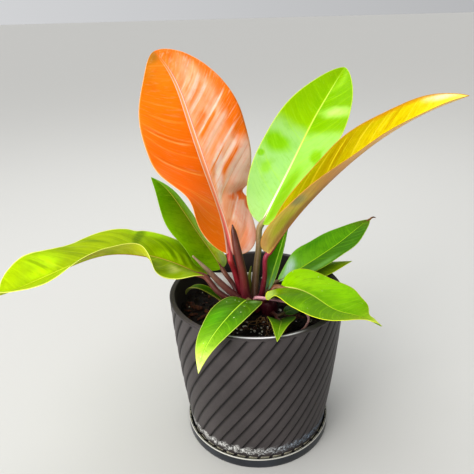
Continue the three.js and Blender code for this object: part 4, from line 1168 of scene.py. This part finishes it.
def make_pot():
    """The pot: flutes that wind round it between a plain foot and a plain lip."""
    slices = FLUTES * FLUTE_SLICES
    phase = (np.arange(slices) % FLUTE_SLICES) / FLUTE_SLICES
    groove = np.maximum(np.exp(-((phase / 0.2) ** 1.1)), np.exp(-(((1 - phase) / 0.05) ** 2)))
    scallop = np.abs(np.sin(np.pi * phase))
    flute_top = POT_TOP_Z - LIP_HEIGHT
    heights = [POT_FOOT_Z, 5.2, 6.5, 8.2, *np.arange(9, 27, 0.9), *np.linspace(28, flute_top - 5, 46)]
    heights += [flute_top - below for below in (2.6, 1.6, 1.1, 0.7, 0.3)]
    rings, marks = [], []
    for z in heights:
        depth = step(z, *FLUTE_FOOT) * (1 - step(z, flute_top - 1.6, flute_top - 0.2))
        turn = np.radians(np.arange(slices) * 360 / slices + FLUTE_START + FLUTE_TWIST * z)
        radius = pot_radius(z) - FLUTE_DEPTH * groove * depth - 0.9 * (1 - step(z, POT_FOOT_Z, 5.6))
        crust = step(z, *CRUST_RISE) * (1 - step(z, *CRUST_FALL))
        if crust > 0:
            grains = [noise.noise((math.sin(a) * 42, math.cos(a) * 42, z * 0.9)) for a in turn]
            radius = radius + CRUST_HEIGHT * crust * np.clip(np.array(grains) + 0.1, 0, 1)
        rings.append(circle(radius, turn, z))
        marks.append(np.stack([groove * depth, scallop], -1))
    turn = np.radians(np.arange(slices) * 360 / slices + FLUTE_START + FLUTE_TWIST * flute_top)
    low, high = POT_FOOT_Z, POT_FOOT_Z + POT_FLOOR
    rim_z, bore_z = POT_TOP_Z - LIP_ROUND, POT_TOP_Z - BORE_ROUND
    rim = POT_RIM_RADIUS
    plain = [(rim - 0.05, flute_top + 0.2), (rim, flute_top + 1), (rim, rim_z)]
    plain += arc(rim - LIP_ROUND, rim_z, LIP_ROUND, 15, 90, 6)
    plain += arc(bore_radius(POT_TOP_Z) + BORE_ROUND, bore_z, BORE_ROUND, 90, 180, 7)
    plain += [(bore_radius(z), z) for z in np.linspace(POT_TOP_Z - 4, high + 1, 14)]
    plain += [(bore_radius(high) - 0.8, high), (48, high), (20, high), (20, low), (48, low)]
    plain.append((POT_FOOT_RADIUS - 2.5, low))
    rings += [circle(radius, turn, z) for radius, z in plain]
    marks += [np.zeros((slices, 2))] * len(plain)
    faces = ring_faces(len(rings), slices, closed=True)
    layers = {"flute": np.concatenate(marks)}
    made = make_mesh("fluted_pot", np.concatenate(rings), faces, [pot_skin()], layers)
    combine(made, plugs("floor_middle", [(0, 0)], 21, 96, low, high), "UNION")
    angles = [i * 2 * math.pi / DRAINS for i in range(DRAINS)]
    drains = [(DRAIN_CIRCLE_RADIUS * math.cos(a), DRAIN_CIRCLE_RADIUS * math.sin(a)) for a in angles]
    combine(made, plugs("drain_bores", drains, DRAIN_RADIUS, 24, low - 2, high + 2), "DIFFERENCE")
    add_piece(made, "pot", "pot")


def from_axis(x, y):
    """How far a place is from the upright axis."""
    return (x**2.0 + y**2.0).math("SQRT")


def pot_skin():
    """Charcoal plastic with a fine matt grain, painted shade in its grooves, a painted highlight along
    the front of its lip and a mineral crust near its foot, greyer to the right as painted shade, with
    pale dashes below it that are partly mineral and partly painted light.
    """
    skin = Shader("charcoal_pot")
    x, y, z = skin.parts(skin.place())
    groove, scallop = skin.layer("flute")
    cloud = skin.grain(14, 4, 0.6)
    base = skin.mix(skin.smooth(cloud, 0.3, 0.7), "3c3838", "4c4747")
    base = skin.mix(skin.smooth(skin.grain(60, 5, 0.7), 0.55, 0.8, 0.0, 0.35), base, "5e5755")
    fine = skin.grain(1400, 2)
    base = skin.mix(skin.smooth(fine, 0.35, 0.7, 0.0, 0.15), base, "585252")
    # Painted shade in the grooves.
    base = skin.mix(skin.smooth(groove, 0.12, 0.85, 0.0, 0.92), base, "0c0909")
    # A painted highlight: a thin white line along the front of the lip.
    lip_highlight_line = skin.smooth(abs(from_axis(x, y) - 0.0802), 0.0011, 0.0005) * skin.smooth(z, 0.1522, 0.1529)
    ahead = skin.smooth(y, -0.05, -0.07) * skin.smooth(abs(x), 0.045, 0.02)
    base = skin.mix(lip_highlight_line * ahead, base, "f0f0f0")
    raised = z + (skin.grain(230, 4, 0.7) - 0.5) * 0.009 - scallop * 0.005
    band = skin.smooth(raised, 0.0095, 0.0115) * skin.smooth(raised, 0.0205, 0.0165)
    front = skin.smooth(y, 0.03, -0.03, 0.35, 1.0)
    lumps = skin.smooth(skin.grain(520, 4, 0.75), 0.4, 0.6)
    crust = band * lumps * front
    # The crust is pale at the left and greyer and bluer to the right, which is painted shade.
    mineral = skin.mix(skin.smooth(x, -0.01, 0.05), "dcdcd8", "8795a4")
    base = skin.mix(crust * 0.95, base, mineral)
    rough = skin.smooth(cloud, 0.3, 0.7, 0.4, 0.5) + crust * 0.35
    normal = skin.bump(crust * skin.grain(900, 3), 0.001, 0.9, skin.bump(fine, 0.0002, 0.25))
    # Pale dashes between the flutes at the foot, partly mineral and partly painted light.
    mineral_and_light_dash = skin.smooth(z, 0.0082, 0.0089) * skin.smooth(z, 0.0107, 0.01)
    mineral_and_light_dash = mineral_and_light_dash * skin.smooth(scallop, 0.35, 0.6)
    base = skin.mix(mineral_and_light_dash * front * skin.smooth(lumps, 0.0, 0.4, 0.4, 0.9), base, "dcd8c0")
    return skin.finish(base, rough, normal, Specular_IOR_Level=0.25)


def make_saucer():
    """The saucer: a shallow dish with a rounded rim."""
    foot, outer, inner = SAUCER_FOOT_RADIUS, SAUCER_RIM_RADIUS, SAUCER_RIM_RADIUS - SAUCER_WALL
    bend = SAUCER_WALL / 2
    profile = [(6, 0), (40, 0), (foot - 1.2, 0), (foot - 0.35, 0.25), (foot, 1)]
    profile += [(outer - 0.2, 4), (outer - 0.1, 7)]
    profile += arc(outer - bend, SAUCER_HEIGHT - bend, bend, 0, 180, 9)
    profile += [(inner - 0.1, 7), (inner - 0.4, 5.2), (inner - 1.4, 4.2), (inner - 3, SAUCER_FLOOR)]
    profile += [(40, SAUCER_FLOOR), (6, SAUCER_FLOOR)]
    points = np.concatenate([circle(radius, full_turn(SAUCER_SLICES), z) for radius, z in profile])
    faces = ring_faces(len(profile), SAUCER_SLICES, closed=True)
    made = make_mesh("round_saucer", points, faces, [saucer_skin()])
    combine(made, plugs("saucer_middle", [(0, 0)], 6.5, SAUCER_SLICES, 0, SAUCER_FLOOR), "UNION")
    add_piece(made, "saucer", "saucer")


def saucer_skin():
    """Slate plastic with pale dashes along the inside of its rim, partly dried water marks and partly
    painted light, and a painted highlight on the top of the rim, strongest at the front.
    """
    skin = Shader("slate_saucer")
    x, y, z = skin.parts(skin.place())
    base = skin.mix(skin.smooth(skin.grain(30, 4), 0.35, 0.7), "24272c", "31353c")
    flat = from_axis(x, y)
    # Pale dashes inside the rim, partly dried water marks and partly painted light.
    turn = x.math("ARCTAN2", y) / (2 * math.pi / FLUTES)
    mineral_and_light_dash = skin.smooth(abs(turn.math("FRACT") - 0.5), 0.45, 0.36)
    inside = skin.smooth(flat, 0.0717, 0.0713) * skin.smooth(flat, 0.0655, 0.0672)
    marks = skin.smooth(skin.grain(240, 4, 0.7), 0.36, 0.5)
    chalk_and_light_dashes = inside * marks * (skin.smooth(z, 0.0082, 0.0094) * mineral_and_light_dash)
    base = skin.mix(chalk_and_light_dashes * 0.9, base, "d8d4b8")
    # A painted highlight on the top of the rim, strongest at the front.
    top = skin.smooth(flat, 0.0719, 0.0722) * skin.smooth(z, 0.0096, 0.0102)
    top = top * skin.smooth(y, 0.03, -0.03, 0.25, 1.0)
    base = skin.mix(top * 0.85, base, "c8c6bc")
    return skin.finish(base, 0.34, skin.bump(skin.grain(1200, 2), 0.0002, 0.2), Specular_IOR_Level=0.5)


def soil_top(x, y):
    """The height of the soil with its crumbs."""
    swell = 1.5 * math.sin(x * 0.09 + 0.6) * math.cos(y * 0.075 - 0.4)
    lumps = 0.8 * math.sin(x * 0.37 + y * 0.23) + 0.7 * math.cos(y * 0.41 - x * 0.19)
    rough = 1.5 * noise.fractal((x * 0.12, y * 0.12, 3.1), 0.9, 2.1, 4)
    rough += 0.8 * noise.noise((x * 0.7, y * 0.7, 8.0))
    return SOIL_Z + swell + lumps + rough


def make_soil():
    """The soil: a closed body with a crumbly top."""
    circles = [(bore_radius(z) * 0.993, z) for z in (8, 110)]
    reach = bore_radius(SOIL_Z) - 0.4
    circles += [(reach * ring / SOIL_RINGS, None) for ring in range(SOIL_RINGS, 0, -1)]
    points = []
    for radius, z in circles:
        for a in full_turn(SOIL_SECTORS):
            x, y = radius * math.cos(a), radius * math.sin(a)
            points.append((x, y, soil_top(x, y) if z is None else z))
    faces = ring_faces(len(circles), SOIL_SECTORS)
    faces += [range(SOIL_SECTORS - 1, -1, -1), range(len(points) - SOIL_SECTORS, len(points))]
    made = make_mesh("potting_mix", points, faces, [soil_skin("potting_mix", "110c0a", "261b16")])
    add_piece(made, "soil", "soil")


def soil_skin(name, dark, light, scale=240):
    skin = Shader(name)
    coarse = skin.grain(scale, 5, 0.7)
    base = skin.mix(skin.smooth(coarse, 0.35, 0.65), dark, light)
    base = skin.mix(skin.smooth(skin.grain(90, 3), 0.55, 0.72, 0.0, 0.5), base, "4a2418")
    return skin.finish(base, 0.85, skin.bump(coarse, 0.0015, 0.7))


def two_tone(grain, edges, tones, roughness, bump):
    """A skin of two colours with its own grain as relief. bump is distance and strength."""
    skin = grain.shader
    base = skin.mix(skin.smooth(grain, *edges), *tones)
    return skin.finish(base, roughness, skin.bump(grain, *bump))


def lump_points(size, seed, rings, sectors):
    """A rounded lump as its points and faces."""
    rng = random.Random(seed)
    offset = Vector([rng.random() * 50 for _ in range(3)])
    points = [Vector((0, 0, -1))]
    for i in range(1, rings):
        polar = math.pi * i / rings
        flat = math.sin(polar)
        for k in range(sectors):
            a = 2 * math.pi * k / sectors
            points.append(Vector((flat * math.cos(a), flat * math.sin(a), -math.cos(polar))))
    points.append(Vector((0, 0, 1)))
    shaped = [np.array(p * (1 + 0.45 * noise.noise(p * 1.3 + offset))) * size for p in points]
    last = len(points) - 1
    base = last - sectors
    faces = [(0, 1 + (k + 1) % sectors, 1 + k) for k in range(sectors)]
    faces += ring_faces(rings - 1, sectors, 1)
    faces += [(last, base + k, base + (k + 1) % sectors) for k in range(sectors)]
    return np.array(shaped), faces


def scatter(name, places, size, material, seed, rings=5, sectors=8, sink=0.3):
    """Lumps at given places on the soil, in one piece. sink is the share of a lump below the top."""
    rng = random.Random(seed)
    points, faces, total = [], [], 0
    for i, (x, y, scale) in enumerate(places):
        own = [value * scale * (0.8 + 0.4 * rng.random()) for value in size]
        shape, own_faces = lump_points(own, seed * 1000 + i, rings, sectors)
        spin, tilt = rng.random() * 6.3, (rng.random() - 0.5) * 1.1
        turn = Matrix.Rotation(spin, 3, "Z") @ Matrix.Rotation(tilt, 3, "X")
        place = np.array([x, y, soil_top(x, y) + own[2] * (1 - 2 * sink)])
        points.append(shape @ np.array(turn).T + place)
        faces += [tuple(v + total for v in face) for face in own_faces]
        total += len(shape)
    add_piece(make_mesh(name, np.concatenate(points), faces, [material]), "soil")


def spots(count, seed, smallest=0.5, largest=1.3):
    """Seeded places on the soil, off the stem's foot."""
    rng = random.Random(seed)
    found = []
    while len(found) < count:
        radius = LITTER_REACH * math.sqrt(rng.random())
        a = rng.random() * 2 * math.pi
        place = (radius * math.cos(a), radius * math.sin(a))
        if math.dist(place, STEM_PLACE) > STEM_CLEARANCE:
            found.append((*place, smallest + (largest - smallest) * rng.random()))
    return found


def make_litter():
    """What lies in the top of the soil: crumbs, bark and pale grains."""
    crumbs = soil_skin("crumbs", "1a120e", "3a2a20", 420)
    scatter("soil_crumbs", spots(CRUMBS, 3), (1.5, 1.2, 0.9), crumbs, 3, 4, 6)
    rind = Shader("bark").fibre(520, 4, 0.65, (1.0, 0.25, 1.0))
    bark = two_tone(rind, (0.35, 0.7), ("2a1710", "6b3a22"), 0.8, (0.0008, 0.8))
    chips = LEFT_BARK + spots(BARK_CHIPS, 11, 0.5, 1.1)
    scatter("bark_chips", chips, (5.2, 2.6, 1.3), bark, 11)
    grain = Shader("perlite").grain(900, 4, 0.7)
    pale = two_tone(grain, (0.3, 0.7), ("c9c4b8", "f2efe8"), 0.75, (0.0005, 0.8))
    rng = random.Random(8)
    grains = PERLITE + [
        (rng.gauss(-1, 9), rng.gauss(-32, 7), rng.uniform(0.3, 0.7)) for _ in range(NEAR_GRAINS)
    ]
    grains += spots(FAR_GRAINS, 21, 0.35, 0.75)
    scatter("perlite", grains, (1.5, 1.3, 1.1), pale, 21, 6, 9, 0.25)


def make_roots():
    """Fine dry roots that straggle over the soil in front of the stem."""
    skin = Shader("fine_roots")
    base = skin.mix(skin.grain(300, 3), "6a4a30", "c09a6c")
    material = skin.finish(base, 0.7, skin.bump(skin.grain(800, 2), 0.0003, 0.4))
    rng = random.Random(5)
    for i in range(ROOTS):
        angle = math.radians(-150 + 120 * i / (ROOTS - 1) + rng.uniform(-8, 8))
        reach = rng.uniform(16, 34)
        path = []
        for t in np.linspace(0, 1, ROOT_POINTS):
            bend = angle + 0.5 * math.sin(3 * t + i)
            x, y = 8 + (4 + reach * t) * math.cos(bend), -10 + (4 + reach * t) * math.sin(bend)
            path.append((x, y, soil_top(x, y) + 0.5 + 1.4 * math.sin(math.pi * t) * rng.random()))
        points, places = curve_points(path, 32)
        add_piece(make_tube(f"fine_root_{i + 1}", points, 0.42 - 0.3 * places, material, 7), "soil")


def make_label():
    """The label keeps its own solid, in pale plastic that has gone slightly chalky."""
    skin = Shader("label_plastic")
    base = skin.mix(skin.smooth(skin.grain(120, 4), 0.4, 0.7), "fff8ea", "fffdf6")
    soiled = skin.smooth(skin.parts(skin.place())[2], 0.134, 0.128, 0.0, 0.5)
    base = skin.mix(soiled, base, "a08c70")
    normal = skin.bump(skin.grain(500, 2), 0.0002, 0.15)
    depth = dict(Subsurface_Weight=0.6, Subsurface_Scale=0.004, Subsurface_Radius=(1, 1, 1))
    material = skin.finish(base, 0.42, normal, **depth)
    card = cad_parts["plant_label"]
    card.data.materials.clear()
    card.data.materials.append(material)
    for slot in card.material_slots:
        slot.link = "OBJECT"
        slot.material = material


def make_dry_tip():
    """The dried brown tip of the right upper leaf, which curls down and back."""
    skin = Shader("dry_tip")
    base = skin.mix(skin.smooth(skin.grain(260, 3), 0.35, 0.65), "4c2c14", "94642e")
    material = skin.finish(base, 0.6, skin.bump(skin.grain(900, 3), 0.0003, 0.6))
    leaf = LEAVES["right_upper_leaf"]
    path = blade_points(leaf, np.array([0.965, 0.985, 1.0]), np.zeros(3))
    curl = np.array(DRY_TIP_CURL) @ np.array(frame_at(leaf, np.array(1.0)))
    points, places = curve_points([*path, *(path[2] + curl)], 40)
    tip = make_tube("dry_leaf_tip", points, along(DRY_TIP_RADII, places), material, 12)
    add_piece(tip, "green_blade")


def make_leaves():
    for name, upper in UPPER_SKINS.items():
        top = leaf_skin(name + "_upper", **upper)
        make_blade(name, top, leaf_skin(name + "_lower", **{**UNDERSIDE, **LOWER_SKINS[name]}))


def aim(made, direction):
    made.rotation_euler = Vector(direction).to_track_quat("-Z", "Y").to_euler()


def make_stage():
    """A plain pale floor, a pale sky and soft studio lights."""
    corners = [(x * FLOOR_REACH, y * FLOOR_REACH, 0) for x, y in ((-1, -1), (1, -1), (1, 1), (-1, 1))]
    skin = Shader("pale_floor").finish(colour("c6c5c1"), 0.75, Specular_IOR_Level=0.15)
    floor = make_mesh("floor", corners, [(0, 1, 2, 3)], [skin])
    sky = Shader("pale_sky", bpy.data.worlds)
    x, _, z = sky.parts(sky.place("Generated"))
    strength = sky.smooth(z, 0.1, 0.9, *SKY_STRENGTH) * sky.smooth(x, -1.0, 1.0, *SKY_SIDES, "LINEAR")
    back = sky.tree.nodes["Background"].inputs
    sky.put(back["Color"], (0.97, 0.98, 1.0, 1))
    sky.put(back["Strength"], strength)
    bpy.context.scene.world = sky.owner
    sun = bpy.data.lights.new("soft_sun", "SUN")
    sun.energy = SUN_POWER
    sun.angle = math.radians(SUN_SPREAD)
    aim(add_object("soft_sun", sun), -Vector(SUN_PLACE))
    for name, (place, target, size, power, tint) in AREA_LIGHTS.items():
        light = bpy.data.lights.new(name, "AREA")
        light.shape = "RECTANGLE"
        light.size, light.size_y = size
        light.energy = power
        light.color = tint
        made = add_object(name, light)
        made.location = place
        aim(made, Vector(target) - Vector(place))
    view = bpy.context.scene.view_settings
    view.view_transform = "Standard"
    view.look = "Medium High Contrast"


make_camera()
make_stage()
make_saucer()
make_pot()
make_soil()
make_litter()
make_roots()
make_label()
for name, stalk in STALKS.items():
    make_stalk(name, **stalk)
make_leaves()
make_dry_tip()
